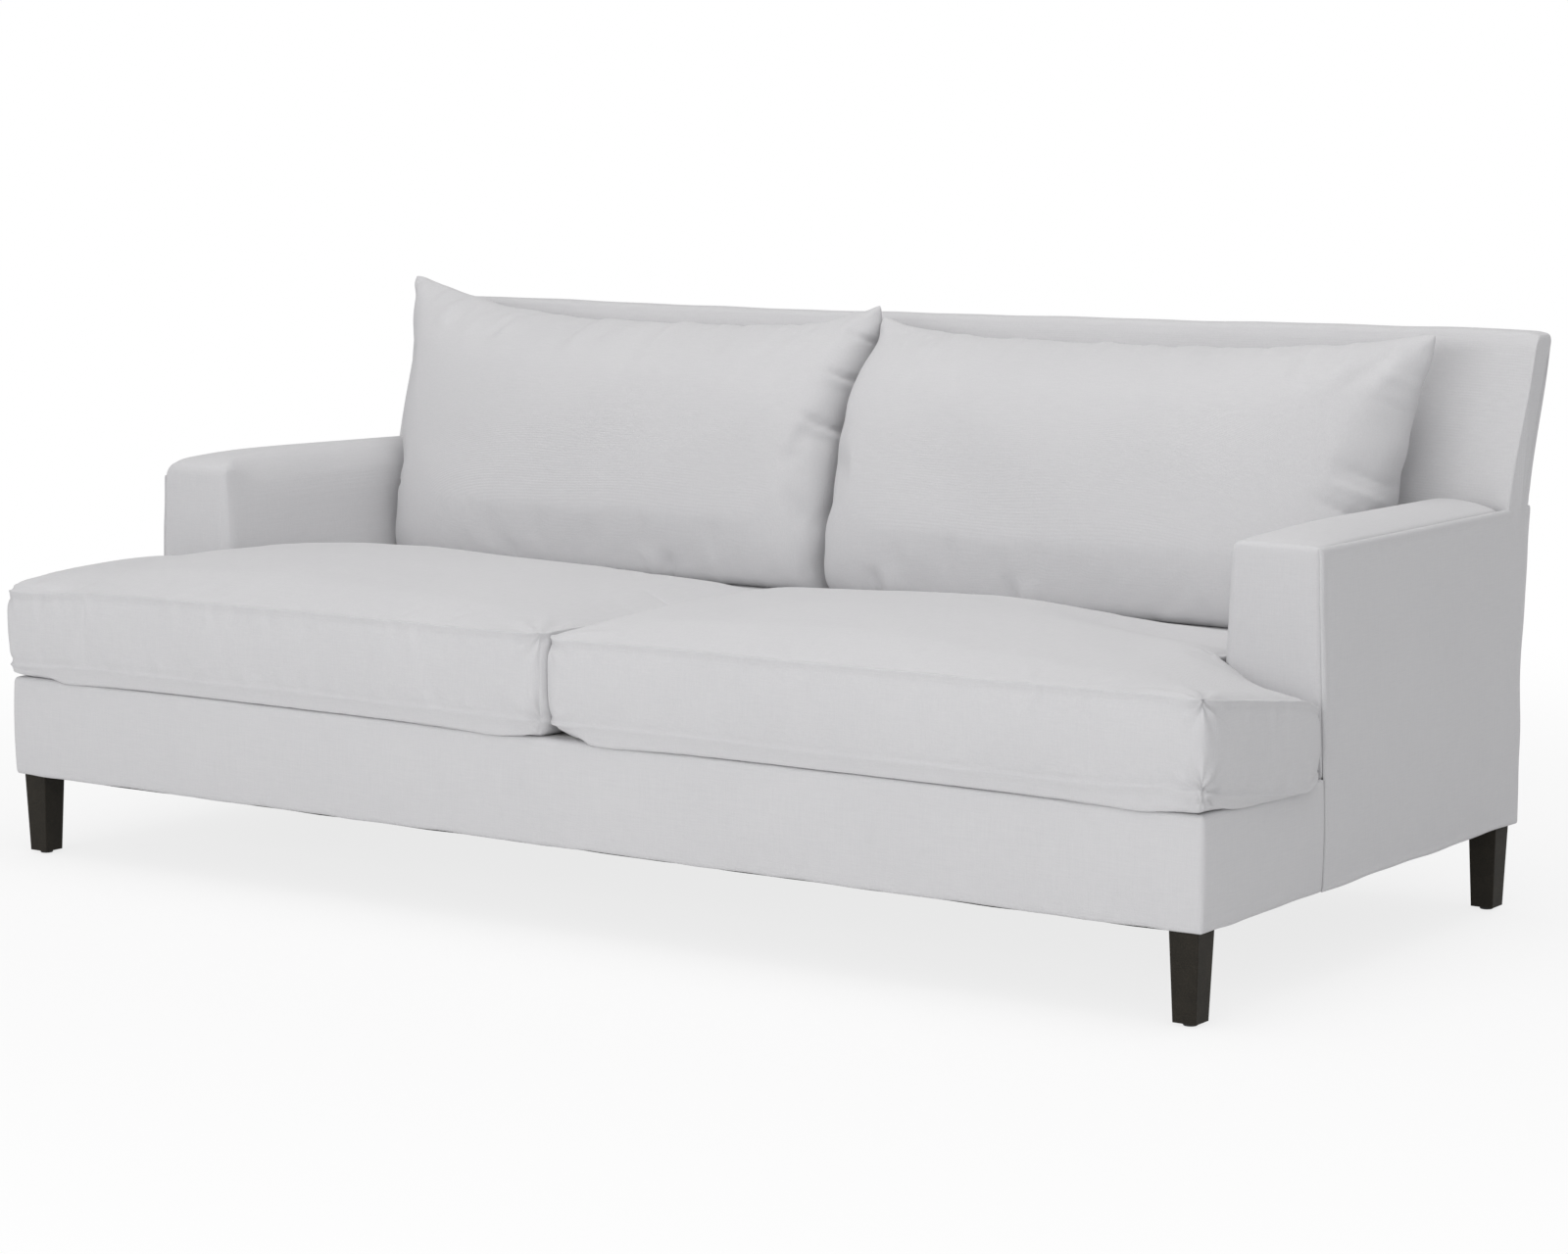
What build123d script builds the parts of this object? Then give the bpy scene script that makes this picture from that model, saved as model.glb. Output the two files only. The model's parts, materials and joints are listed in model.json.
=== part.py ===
from build123d import *
import os
from math import atan, cos, degrees

# Outdoor sofa, upholstered in woven fabric over a welded aluminium tube frame, in millimetres.
# +Z is up, the front faces -Y, and the origin is on the floor under the middle of the sofa.

# Overall sizes
body_width = 2180.0
overall_depth = 1084.0
leg_height = 130.0
base_height = 160.0
base_depth = 986.0
arm_height = 609.0
back_height = 866.0

# Arms and back
arm_setback = 344.0
arm_top_width = 137.0
arm_lean = 12.0
arm_batter = 16.0
arm_crown = 10.0
arm_inner_round = 20.0
arm_front_round = 8.0
back_bend_height = 350.0
back_foot_thickness = 122.0
back_top_thickness = 58.0
back_round = 14.0

# Fabric, panels and padding
cover_thickness = 2.0
panel_thickness = 3.0
hem_width = 20.0
deck_lip = 30.0
deck_thickness = 7.0
deck_under_arm = 35.0
base_padding = 12.0
side_padding = 11.0
base_corner_round = 8.0
base_edge_round = 4.0
arm_padding = 25.0
back_cap_padding = 20.0
rear_padding = 8.0
dust_cover_thickness = 1.0
dust_cover_inset = 12.0

# Aluminium tube frame
rail_thickness = 40.0
rail_wall = 2.0
cross_rail_height = 60.0
cross_rail_place = 363.0
arm_tube_thickness = 30.0
arm_tube_width = 96.0
post_thickness = 28.0
post_width = 40.0
post_side_gap = 6.0
back_rail_height = 30.0
back_mid_rail_height = 480.0
corner_plate_size = 110.0
corner_plate_thickness = 5.0
corner_plate_cut = 90.0

# Webbing
web_width = 50.0
web_thickness = 1.5
cross_web_pitch = 170.0
cross_web_pairs = 6
long_web_pitch = 165.0
long_web_count = 5
back_web_pitch = 180.0
back_web_pairs = 5

# Legs
leg_top_size = 45.0
leg_foot_size = 36.0
leg_centre_inset = 33.0
leg_edge_round = 1.5
leg_boss_radius = 12.0
glide_radius = 10.0
glide_height = 5.0
glide_edge = 1.2
glide_stem_radius = 4.0
glide_stem_length = 14.0
bolt_radius = 5.0
bolt_length = 60.0
bolt_head_flats = 17.0
bolt_head_height = 6.4
hole_clearance = 0.4

# Seat cushions, T-shaped, with a boxing band between two crowned panels
cushion_overhang = 8.0
cushion_ear_overhang = 4.0
cushion_gap = 3.0
cushion_back_gap = 6.0
seat_belly_rise = 43.0
seat_belly_inset = 60.0
seat_belly_turn_inset = 21.6
seat_belly_turn = 0.3
seat_boxing = 108.0
seat_boxing_bulge = 5.0
seat_crown = 42.0
seat_edge_roll = 4.0
seat_crown_margin = 20.0
seat_draw = 6.0
seat_corner_round = 22.0
seat_rear_flat = 4.0
seat_ear_crown = 9.0
seat_edge_crown = 1.0
seat_inner_place = 0.16
seat_inner_crown = 30.0
seat_outer_place = 0.82
seat_outer_crown = 31.0

# Back cushions, knife-edged pillows that lean on the back
pillow_bottom_thickness = 155.0
pillow_edge_bottom = 124.0
pillow_thickness = 230.0
pillow_edge_thickness = 130.0
pillow_shoulder_thickness = 202.0
pillow_shoulder_place = 0.14
pillow_shoulder_rise = 12.0
pillow_top_thickness = 22.0
pillow_ear_thickness = 16.0
pillow_inner_ear_drop = 8.0
pillow_height = 404.0
pillow_ear_rise = 46.0
pillow_ear_spread = 46.0
pillow_draw = 6.0
pillow_foot = 30.0
pillow_foot_height = 70.0
pillow_rest_height = 230.0
pillow_belly_height = 175.0
pillow_top_reach = 88.0
pillow_bottom_drop = 10.0
pillow_gap = 0.6
pillow_start_height = 150.0

# Zips
zip_length = 620.0
zip_tape_width = 24.0
zip_tape_thickness = 0.8
zip_teeth_width = 5.0
zip_teeth_height = 2.0
zip_end = 10.0
slider_length = 10.0
slider_wall = 1.2
pull_length = 22.0
pull_width = 5.0

# Gap between pieces that come apart, and between a cover and its filling
fit_gap = 0.3

# Places worked out from the sizes above
half_width = body_width / 2
base_front = -overall_depth / 2 + cushion_overhang
base_rear = base_front + base_depth
base_bottom = leg_height
base_top = leg_height + base_height
arm_front = base_front + arm_setback
arm_outer_top = half_width - arm_lean
arm_inner_top = arm_outer_top - arm_top_width
arm_inner_foot = arm_inner_top - arm_batter
back_top_rear = overall_depth / 2
back_front_foot = base_rear - back_foot_thickness
back_slope = (back_top_rear - back_top_thickness - back_front_foot) / (back_height - base_top)
rear_slope = (back_top_rear - base_rear) / (back_height - back_bend_height)
web_bottom = base_top - deck_thickness - 2 * web_thickness
rail_bottom = base_bottom + cover_thickness + corner_plate_thickness
rail_outer = half_width - cover_thickness - base_padding
rail_front = base_front + cover_thickness + base_padding
rail_rear = base_rear - panel_thickness - rear_padding
leg_x = half_width - leg_centre_inset
leg_front_y = base_front + leg_centre_inset
leg_rear_y = base_rear - leg_centre_inset
leg_places = [(sx * leg_x, y) for y in (leg_front_y, leg_rear_y) for sx in (-1, 1)]
frame_rear_offset = panel_thickness + rear_padding + post_thickness
frame_top = back_height - cover_thickness - back_cap_padding
far = 3 * body_width


def back_front_y(z):
    """Front face of the padded back at height z."""
    return back_front_foot + (z - base_top) * back_slope


def back_rear_y(z):
    """Rear face of the back: upright at the base, then raked."""
    return base_rear + max(0.0, z - back_bend_height) * rear_slope


def block(x0, x1, y0, y1, z0, z1):
    """A box given by its low and high corners."""
    return Pos((x0 + x1) / 2, (y0 + y1) / 2, (z0 + z1) / 2) * Box(x1 - x0, y1 - y0, z1 - z0)


def tube(x0, x1, y0, y1, z0, z1, along):
    """A rectangular tube, open at both ends."""
    w = rail_wall
    bore = {
        "x": (x0 - w, x1 + w, y0 + w, y1 - w, z0 + w, z1 - w),
        "y": (x0 + w, x1 - w, y0 - w, y1 + w, z0 + w, z1 - w),
        "z": (x0 + w, x1 - w, y0 + w, y1 - w, z0 - w, z1 + w),
    }[along]
    return block(x0, x1, y0, y1, z0, z1) - block(*bore)


def side_prism(points, x0, x1):
    """A prism across the sofa from a side outline of (y, z) points."""
    outline = make_face(Polyline([(x0, y, z) for y, z in points], close=True))
    return extrude(outline, amount=x1 - x0, dir=(1, 0, 0))


def front_prism(points, y0, y1):
    """A prism from front to rear from a front outline of (x, z) points."""
    outline = make_face(Polyline([(x, y0, z) for x, z in points], close=True))
    return extrude(outline, amount=y1 - y0, dir=(0, 1, 0))


def to_left(part):
    """The left piece that matches a right one."""
    return mirror(part, about=Plane.YZ)


def side_envelope(inset, above):
    """Room between the two side panels, with half width above over the arms."""
    foot = half_width - inset
    top = arm_outer_top - inset
    right = [(foot, base_bottom), (foot, base_top), (top, arm_height)]
    lower = front_prism(right + [(-x, z) for x, z in reversed(right)], -far, far)
    return lower + block(-above, above, -far, far, arm_height, far)


def back_form():
    """Outer form of the padded back with rounded top edges."""
    outline = make_face(Polyline([
        (0, back_front_foot, base_top),
        (0, back_front_y(back_height), back_height),
        (0, back_top_rear, back_height),
        (0, base_rear, back_bend_height),
        (0, base_rear, base_top),
    ], close=True))
    top_corners = outline.vertices().sort_by(Axis.Z)[-2:]
    outline = fillet(top_corners, back_round)
    slab = extrude(outline, amount=half_width, dir=(1, 0, 0), both=True)
    return slab & side_envelope(panel_thickness, arm_outer_top)


def back_cavity():
    """Room inside the back's cover, open at the rear and at the bottom."""
    top = back_height - cover_thickness
    low = base_top - deck_thickness
    run = cover_thickness / cos(atan(back_slope))
    points = [
        (back_front_y(low) + run, low),
        (back_front_y(top) + run, top),
        (far, top),
        (far, low),
    ]
    inner = front_prism([
        (-far, 0), (far, 0), (far, arm_height),
        (arm_outer_top - cover_thickness, arm_height), (arm_outer_top - cover_thickness, far),
        (cover_thickness - arm_outer_top, far), (cover_thickness - arm_outer_top, arm_height),
        (-far, arm_height),
    ], -far, far)
    return side_prism(points, -far, far) & inner


def raked_bar(front_offset, rear_offset, z0, z1, x0, x1):
    """A bar that follows the back's rear face between two offsets in front of it."""
    heights = [z0] + ([back_bend_height] if z0 < back_bend_height < z1 else []) + [z1]
    rear = [(back_rear_y(z) - rear_offset, z) for z in heights]
    front = [(back_rear_y(z) - front_offset, z) for z in reversed(heights)]
    return side_prism(rear + front, x0, x1)


def raked_post(x0, x1):
    """A raked back post: a tube open at its foot."""
    top = frame_top - back_rail_height
    rear = frame_rear_offset - post_thickness
    outside = raked_bar(frame_rear_offset, rear, web_bottom, top, x0, x1)
    bore = raked_bar(frame_rear_offset - rail_wall, rear + rail_wall,
                     web_bottom - rail_wall, top - rail_wall, x0 + rail_wall, x1 - rail_wall)
    return outside - bore


def raked_rail(z0, z1, x0, x1):
    """A rail across the back: a tube open at both ends."""
    rear = frame_rear_offset - post_thickness
    outside = raked_bar(frame_rear_offset, rear, z0, z1, x0, x1)
    bore = raked_bar(frame_rear_offset - rail_wall, rear + rail_wall,
                     z0 + rail_wall, z1 - rail_wall, x0 - rail_wall, x1 + rail_wall)
    return outside - bore


def ahead_of_back():
    """Everything in front of the back's front face."""
    low = 0.0
    high = 2 * back_height
    return side_prism([
        (-far, low), (back_front_y(low), low), (back_front_y(high), high), (-far, high),
    ], -far, far)


def arm_form(inset, outer_reach, foot):
    """Right arm drawn in by inset, its outer side out by outer_reach, rounded at the top and front."""
    top = arm_height - inset
    inner_top = arm_inner_top + inset
    outer_top = arm_outer_top + outer_reach
    outer_foot = half_width + outer_reach
    front = arm_front + inset
    edges = [
        Line((arm_inner_foot + inset, front, foot), (inner_top, front, top)),
        ThreePointArc((inner_top, front, top),
                      ((inner_top + arm_outer_top) / 2, front, top + arm_crown),
                      (arm_outer_top, front, top)),
        Line((outer_top, front, top), (outer_foot, front, foot)),
        Line((outer_foot, front, foot), (arm_inner_foot + inset, front, foot)),
    ]
    if outer_reach:
        edges.append(Line((arm_outer_top, front, top), (outer_top, front, top)))
    outline = make_face(edges)
    inner_corner = outline.vertices().sort_by_distance((inner_top, front, top))[0]
    outline = fillet(inner_corner, arm_inner_round - inset)
    body = extrude(outline, amount=base_depth, dir=(0, 1, 0))
    front_edges = body.faces().sort_by(Axis.Y)[0].edges()
    raised = front_edges.filter_by(lambda e: e.center().Z > foot + 1 and e.center().X < arm_outer_top)
    return fillet(raised, arm_front_round - inset)


def arm_inside():
    """Room inside the right arm's cover, open at the outer side, at the bottom and at the rear."""
    return arm_form(cover_thickness, arm_lean, base_top - deck_thickness)


def arm_cover():
    """Right arm's fabric: the top, the front and the inner side, open where the side panel closes it."""
    return (arm_form(0, 0, base_top) - arm_inside()) & ahead_of_back()


def arm_pad():
    """Right arm's foam: a cap over the arm's tubes, rounded like the cover over it."""
    room = arm_inside() & side_envelope(panel_thickness, arm_outer_top - panel_thickness)
    above_deck = block(-far, far, -far, far, base_top, far)
    return (room & above_deck & ahead_of_back()) - arm_hollow()


def arm_tube_span():
    """Inner and outer faces of the arm's tubes."""
    inner = arm_inner_top + cover_thickness + arm_padding
    return inner, inner + arm_tube_width


def arm_tube_top():
    """Top of the arm's upper tube, under its padding."""
    return arm_height - cover_thickness - arm_padding


def arm_hollow():
    """Room for the right arm's tubes inside its foam."""
    x0, x1 = arm_tube_span()
    return block(x0, x1, arm_front + cover_thickness + arm_padding, far, 0, arm_tube_top())


def arm_tubes():
    """Right arm's front post and top rail."""
    x0, x1 = arm_tube_span()
    y0 = arm_front + cover_thickness + arm_padding
    split = arm_tube_top() - arm_tube_thickness
    post = tube(x0, x1, y0, y0 + arm_tube_thickness, web_bottom, split, "z")
    rear = back_rear_y(split) - frame_rear_offset
    rail = tube(x0, x1, y0, rear, split, arm_tube_top(), "y")
    return post, rail


def side_panel():
    """Right outer side panel, from the base's underside to the arm's top, with a hem turned under."""
    foot, top = half_width, arm_outer_top
    high = arm_height - cover_thickness
    lean = (foot - top) / (arm_height - base_top)
    high_x = foot - lean * (high - base_top)
    t = panel_thickness
    sheet = front_prism([
        (foot, base_bottom), (foot, base_top), (high_x, high),
        (high_x - t, high), (foot - t, base_top), (foot - t, base_bottom),
    ], -far, far)
    hem_end = base_rear - panel_thickness
    hem = block(foot - hem_width, foot - t / 2, -far, hem_end, base_bottom, base_bottom + cover_thickness)
    y0 = arm_front + cover_thickness
    outline = side_prism([
        (y0, base_bottom), (base_rear, base_bottom), (base_rear, back_bend_height),
        (back_rear_y(high), high), (y0, high),
    ], -far, far)
    return (sheet + hem) & outline


def outside_back_panel():
    """Rear panel between the side panels, with a hem turned under."""
    sheet = raked_bar(panel_thickness, 0, base_bottom, back_height - cover_thickness,
                      -half_width, half_width)
    hem = block(-half_width, half_width, base_rear - hem_width, base_rear - panel_thickness / 2,
                base_bottom, base_bottom + cover_thickness)
    room = side_envelope(panel_thickness, arm_outer_top - panel_thickness)
    corner_hem = half_width - hem_width
    hem = hem & block(-corner_hem, corner_hem, -far, far, 0, far)
    return (sheet & room) + hem


def base_band():
    """Front band of the base with its returns to the side panels and its turned edges."""
    t = cover_thickness
    y1 = arm_front + t
    body = block(-half_width, half_width, base_front, y1, base_bottom, base_top)
    corners = body.edges().filter_by(Axis.Z).group_by(Axis.Y)[0]
    body = fillet(corners, base_corner_round)
    rims = body.faces().sort_by(Axis.Z)[0].edges() + body.faces().sort_by(Axis.Z)[-1].edges()
    rims = rims.filter_by(lambda e: e.center().Y < y1 - 1)
    body = fillet(rims, base_edge_round)
    room = block(t - half_width, half_width - t, base_front + t, far, base_bottom + t, base_top - t)
    lip_room = block(deck_lip - half_width, half_width - deck_lip, base_front + deck_lip, far,
                     base_top - 2 * t, far)
    hem_room = block(hem_width - half_width, half_width - hem_width, base_front + hem_width, far,
                     0, base_bottom + 2 * t)
    return body - room - lip_room - hem_room


def deck():
    """Padded deck cloth under the seat cushions, T-shaped round the arms."""
    front_x = half_width - deck_lip
    rear_x = arm_inner_foot + deck_under_arm
    y0 = base_front + deck_lip
    y1 = arm_front + cover_thickness
    y2 = back_front_foot + deck_under_arm
    low = base_top - deck_thickness
    wide = block(-front_x, front_x, y0, y1, low, base_top)
    narrow = block(-rear_x, rear_x, y1, y2, low, base_top)
    return wide + narrow


def dust_cover():
    """Black cloth under the base, cut out round the legs."""
    x = half_width - dust_cover_inset
    y0 = base_front + dust_cover_inset
    y1 = base_rear - dust_cover_inset
    low = base_bottom - dust_cover_thickness
    sheet = block(-x, x, y0, y1, low, base_bottom)
    half = leg_top_size / 2 + hole_clearance
    for lx, ly in leg_places:
        sheet -= block(lx - half, lx + half, ly - half, ly + half, 0, far)
    return sheet


def leg(x, y):
    """A tapered square leg with a boss on top, a bolt bore and a bore for its glide."""
    top = Pos(x, y, base_bottom) * Rectangle(leg_top_size, leg_top_size)
    foot = Pos(x, y, glide_height) * Rectangle(leg_foot_size, leg_foot_size)
    body = loft([foot.face(), top.face()])
    uprights = body.edges().filter_by(lambda e: e.bounding_box().size.Z > leg_height / 2)
    body = fillet(uprights, leg_edge_round)
    boss = Pos(x, y, base_bottom) * Cylinder(
        leg_boss_radius, cover_thickness, align=(Align.CENTER, Align.CENTER, Align.MIN))
    bolt_depth = bolt_length - corner_plate_thickness - rail_wall + hole_clearance
    bolt_bore = Pos(x, y, base_bottom + cover_thickness) * Cylinder(
        bolt_radius + hole_clearance / 2, bolt_depth, align=(Align.CENTER, Align.CENTER, Align.MAX))
    stem_bore = Pos(x, y, glide_height) * Cylinder(
        glide_stem_radius, glide_stem_length, align=(Align.CENTER, Align.CENTER, Align.MIN))
    return body + boss - bolt_bore - stem_bore


def glide(x, y):
    """A nylon glide on a stem pressed into the leg's foot."""
    pad = Pos(x, y, 0) * Cylinder(glide_radius, glide_height, align=(Align.CENTER, Align.CENTER, Align.MIN))
    pad = fillet(pad.edges().group_by(Axis.Z)[0], glide_edge)
    stem = Pos(x, y, glide_height) * Cylinder(
        glide_stem_radius, glide_stem_length, align=(Align.CENTER, Align.CENTER, Align.MIN))
    return pad + stem


def leg_bolt(x, y):
    """A hexagon bolt from inside the rail, through the corner plate, into the leg."""
    seat = rail_bottom + rail_wall
    hexagon = RegularPolygon(bolt_head_flats / 2, 6, major_radius=False)
    head = Pos(x, y, seat) * extrude(hexagon, bolt_head_height)
    shank = Pos(x, y, seat) * Cylinder(
        bolt_radius, bolt_length, align=(Align.CENTER, Align.CENTER, Align.MAX))
    return head + shank


def bolt_hole(x, y):
    """Clearance for a leg bolt through the plates and tubes over a leg."""
    return Pos(x, y, rail_bottom) * Cylinder(bolt_radius + hole_clearance, 4 * corner_plate_thickness)


def corner_plate(x, y):
    """A welded corner gusset under the rails, drilled for the leg bolt."""
    sx = 1 if x > 0 else -1
    sy = 1 if y > 0 else -1
    corner_y = rail_rear if y > 0 else rail_front
    size = corner_plate_size
    cut = corner_plate_cut
    low = base_bottom + cover_thickness
    outline = make_face(Polyline([
        (sx * rail_outer, corner_y, low),
        (sx * (rail_outer - size), corner_y, low),
        (sx * (rail_outer - size), corner_y - sy * (size - cut), low),
        (sx * (rail_outer - size + cut), corner_y - sy * size, low),
        (sx * rail_outer, corner_y - sy * size, low),
    ], close=True))
    return extrude(outline, amount=corner_plate_thickness, dir=(0, 0, 1)) - bolt_hole(x, y)


def drawn_line(a, b, z, draw):
    """An edge from a to b that is drawn in to its left by draw at the middle."""
    if draw == 0:
        return Line((*a, z), (*b, z))
    run = Vector(b[0] - a[0], b[1] - a[1])
    left = Vector(-run.Y, run.X).normalized() * draw
    middle = ((a[0] + b[0]) / 2 + left.X, (a[1] + b[1]) / 2 + left.Y, z)
    return ThreePointArc((*a, z), middle, (*b, z))


def seat_outline(inset, z):
    """T-shaped outline of the right seat cushion at height z."""
    x0 = cushion_gap / 2 + inset
    x1 = arm_inner_foot - cushion_gap - inset
    x2 = half_width + cushion_ear_overhang - inset
    y0 = base_front - cushion_overhang + inset
    y1 = arm_front - cushion_gap - inset
    y2 = back_front_foot - cushion_back_gap - inset
    corners = [(x0, y0), (x2, y0), (x2, y1), (x1, y1), (x1, y2), (x0, y2)]
    draws = [seat_draw, seat_draw / 2, 0, seat_draw, 0, seat_draw / 2]
    edges = [drawn_line(corners[i], corners[(i + 1) % 6], z, draws[i]) for i in range(6)]
    outline = make_face(edges)
    return fillet(outline.vertices(), seat_corner_round)


def seat_crown_section(x, rise, inset, seam_z):
    """Side outline of the crowned top at x: an arc over the seat that runs past both seams."""
    seam_inset = seat_boxing_bulge + inset
    y0 = base_front - cushion_overhang + seam_inset
    y1 = back_front_foot - cushion_back_gap - seam_inset
    half = (y1 - y0) / 2
    middle = (y0 + y1) / 2
    reach = half + seat_crown_margin
    edge_z = seam_z + seat_edge_roll - inset
    end_z = edge_z - rise * ((reach / half) ** 2 - 1)
    low = seam_z - seat_boxing / 4
    return make_face([
        Line((x, middle - reach, low), (x, middle + reach, low)),
        Line((x, middle + reach, low), (x, middle + reach, end_z)),
        ThreePointArc((x, middle + reach, end_z), (x, middle, edge_z + rise), (x, middle - reach, end_z)),
        Line((x, middle - reach, end_z), (x, middle - reach, low)),
    ])


def seat_form(inset):
    """The right seat cushion's form, drawn in by inset all round."""
    low = base_top + fit_gap + inset
    lower_seam = base_top + fit_gap + seat_belly_rise
    upper_seam = lower_seam + seat_boxing
    seam_inset = seat_boxing_bulge + inset
    belly = loft([
        seat_outline(seat_belly_inset + inset, low),
        seat_outline(seat_belly_turn_inset + inset, low + (lower_seam - low) * seat_belly_turn),
        seat_outline(seam_inset, lower_seam),
    ])
    boxing = loft([
        seat_outline(seam_inset, lower_seam),
        seat_outline(inset, (lower_seam + upper_seam) / 2),
        seat_outline(seam_inset, upper_seam),
    ])
    x0 = cushion_gap / 2
    arm_side = arm_inner_foot - cushion_gap
    ear_side = half_width + cushion_ear_overhang
    span = arm_side - x0
    rises = [
        (x0 - seat_crown_margin, seat_edge_crown),
        (x0 + span * seat_inner_place, seat_inner_crown),
        (x0 + span / 2, seat_crown),
        (x0 + span * seat_outer_place, seat_outer_crown),
        (arm_side + seat_crown_margin, seat_ear_crown),
        (ear_side + seat_crown_margin, seat_edge_crown),
    ]
    top = loft([seat_crown_section(x, rise, inset, upper_seam) for x, rise in rises])
    plan = extrude(seat_outline(seam_inset, upper_seam), amount=2 * seat_crown, dir=(0, 0, 1))
    rear = back_front_foot - cushion_back_gap - seat_rear_flat - inset
    return (belly + boxing + (top & plan)) & block(-far, far, -far, rear, 0, far)


def pillow_section(x, bottom, belly, top_height, top, inset):
    """Side outline of a back cushion at x: flat foot and rest, crowned front, thin top seam."""
    foot_front = -(pillow_foot + bottom) + inset
    foot_rear = -pillow_foot - inset
    top_rear = -pillow_top_reach - inset / 2
    top_front = -(pillow_top_reach + top) + inset / 2
    low = inset
    high = top_height - inset
    return make_face([
        Line((x, foot_rear, low), (x, foot_front, low - pillow_bottom_drop)),
        ThreePointArc((x, foot_front, low - pillow_bottom_drop),
                      (x, inset - belly, pillow_belly_height), (x, top_front, high)),
        Line((x, top_front, high), (x, top_rear, high)),
        TangentArc((x, -inset, pillow_rest_height), (x, top_rear, high), tangent=(0, 0, 1)),
        Line((x, -inset, pillow_rest_height), (x, -inset, pillow_foot_height)),
        Line((x, -inset, pillow_foot_height), (x, foot_rear, low)),
    ])


def pillow_form(inset):
    """The right back cushion's form before it leans, foot at z = 0 and rear at y = 0."""
    x0 = cushion_gap / 2
    x1 = arm_inner_foot - cushion_gap
    ear = x1 + pillow_ear_spread
    shoulder = (x1 - x0) * pillow_shoulder_place
    ear_height = pillow_height + pillow_ear_rise
    inner_ear_height = ear_height - pillow_inner_ear_drop
    shoulder_height = pillow_height + pillow_shoulder_rise
    edge_bottom = pillow_edge_bottom
    bottom = pillow_bottom_thickness
    top = pillow_top_thickness
    ear_top = pillow_ear_thickness
    body = loft([
        pillow_section(x0, edge_bottom, pillow_edge_thickness, inner_ear_height, ear_top, inset),
        pillow_section(x0 + shoulder, bottom, pillow_shoulder_thickness, shoulder_height, top, inset),
        pillow_section((x0 + x1) / 2, bottom, pillow_thickness, pillow_height, top, inset),
        pillow_section(x1 - shoulder, bottom, pillow_shoulder_thickness, shoulder_height, top, inset),
        pillow_section(ear, edge_bottom, pillow_edge_thickness, ear_height, ear_top, inset),
    ])
    low = -2 * pillow_bottom_drop
    mid = pillow_belly_height
    left = x0 + inset
    right = x1 - inset
    outline = make_face([
        Line((left, 0, low), (right, 0, low)),
        ThreePointArc((right, 0, low), (right, 0, mid), (ear - inset, 0, ear_height)),
        Line((ear - inset, 0, ear_height), (left, 0, ear_height)),
        ThreePointArc((left, 0, ear_height), (left + pillow_draw, 0, ear_height / 2), (left, 0, low)),
    ])
    return body & extrude(outline, amount=2 * pillow_thickness, dir=(0, 1, 0), both=True)


def zip_parts():
    """A zip along X in its own frame: sewn tape with its teeth, and the slider at its closed end."""
    tape = block(-zip_length / 2, zip_length / 2, -zip_tape_width / 2, zip_tape_width / 2,
                 0, zip_tape_thickness)
    teeth_x = zip_length / 2 - zip_end
    teeth_top = zip_tape_thickness + zip_teeth_height
    teeth = block(-teeth_x, teeth_x, -zip_teeth_width / 2, zip_teeth_width / 2, 0, teeth_top)
    x0 = -teeth_x + zip_end
    x1 = x0 + slider_length
    inner = zip_teeth_width / 2 + fit_gap
    outer = inner + slider_wall
    low = zip_tape_thickness + fit_gap
    roof = teeth_top + fit_gap
    channel = block(x0 - slider_wall, x1 + slider_wall, -inner, inner, 0, roof)
    body = block(x0, x1, -outer, outer, low, roof + slider_wall) - channel
    pull = block(x0, x0 + pull_length, -pull_width / 2, pull_width / 2,
                 roof + slider_wall, roof + 2 * slider_wall)
    return tape + teeth, body + pull


def seat_cushion():
    """Right seat cushion: cover, foam core, zip tape and zip slider."""
    outside = seat_form(0)
    cover = outside - seat_form(cover_thickness)
    core = seat_form(cover_thickness + fit_gap)
    rear = back_front_foot - cushion_back_gap - seat_rear_flat
    middle_x = (cushion_gap / 2 + arm_inner_foot - cushion_gap) / 2
    middle_z = base_top + fit_gap + seat_belly_rise + seat_boxing / 2
    place = Plane(origin=(middle_x, rear, middle_z), x_dir=(1, 0, 0), z_dir=(0, 1, 0)).location
    tape, slider = zip_parts()
    return cover, core, place * tape, place * slider


def back_cushion(seat):
    """Right back cushion, leaned on the back and let down onto its seat cushion."""
    lean = degrees(atan(back_slope))
    slide = Vector(0, back_slope, 1).normalized()
    start_z = base_top + pillow_start_height
    place = Pos(0, back_front_y(start_z) - pillow_gap, start_z) * Rot(-lean, 0, 0)
    outside = place * pillow_form(0)
    drop = 0.0
    for _ in range(3):
        drop += (Pos(slide * -drop) * outside).distance_to(seat) - fit_gap
    place = Pos(slide * -drop) * place
    cover = place * (pillow_form(0) - pillow_form(cover_thickness))
    fill = place * pillow_form(cover_thickness + fit_gap)
    facet = Vector(0, pillow_foot, pillow_foot_height)
    facet_normal = Vector(0, facet.Z, -facet.Y)
    middle_x = (cushion_gap / 2 + arm_inner_foot - cushion_gap) / 2
    middle = (middle_x, -pillow_foot / 2, pillow_foot_height / 2)
    zip_place = place * Plane(origin=middle, x_dir=(1, 0, 0), z_dir=facet_normal).location
    tape, slider = zip_parts()
    return cover, fill, zip_place * tape, zip_place * slider


def write(name, *solids):
    """Write one node: a single solid, or a group of separate ones."""
    shape = solids[0] if len(solids) == 1 else Compound(children=list(solids))
    export_step(shape, f"parts/{name}.step")


def both_sides(name, part):
    """Write the left and right pieces of a pair."""
    write(f"{name}_right", part)
    write(f"{name}_left", to_left(part))


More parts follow.
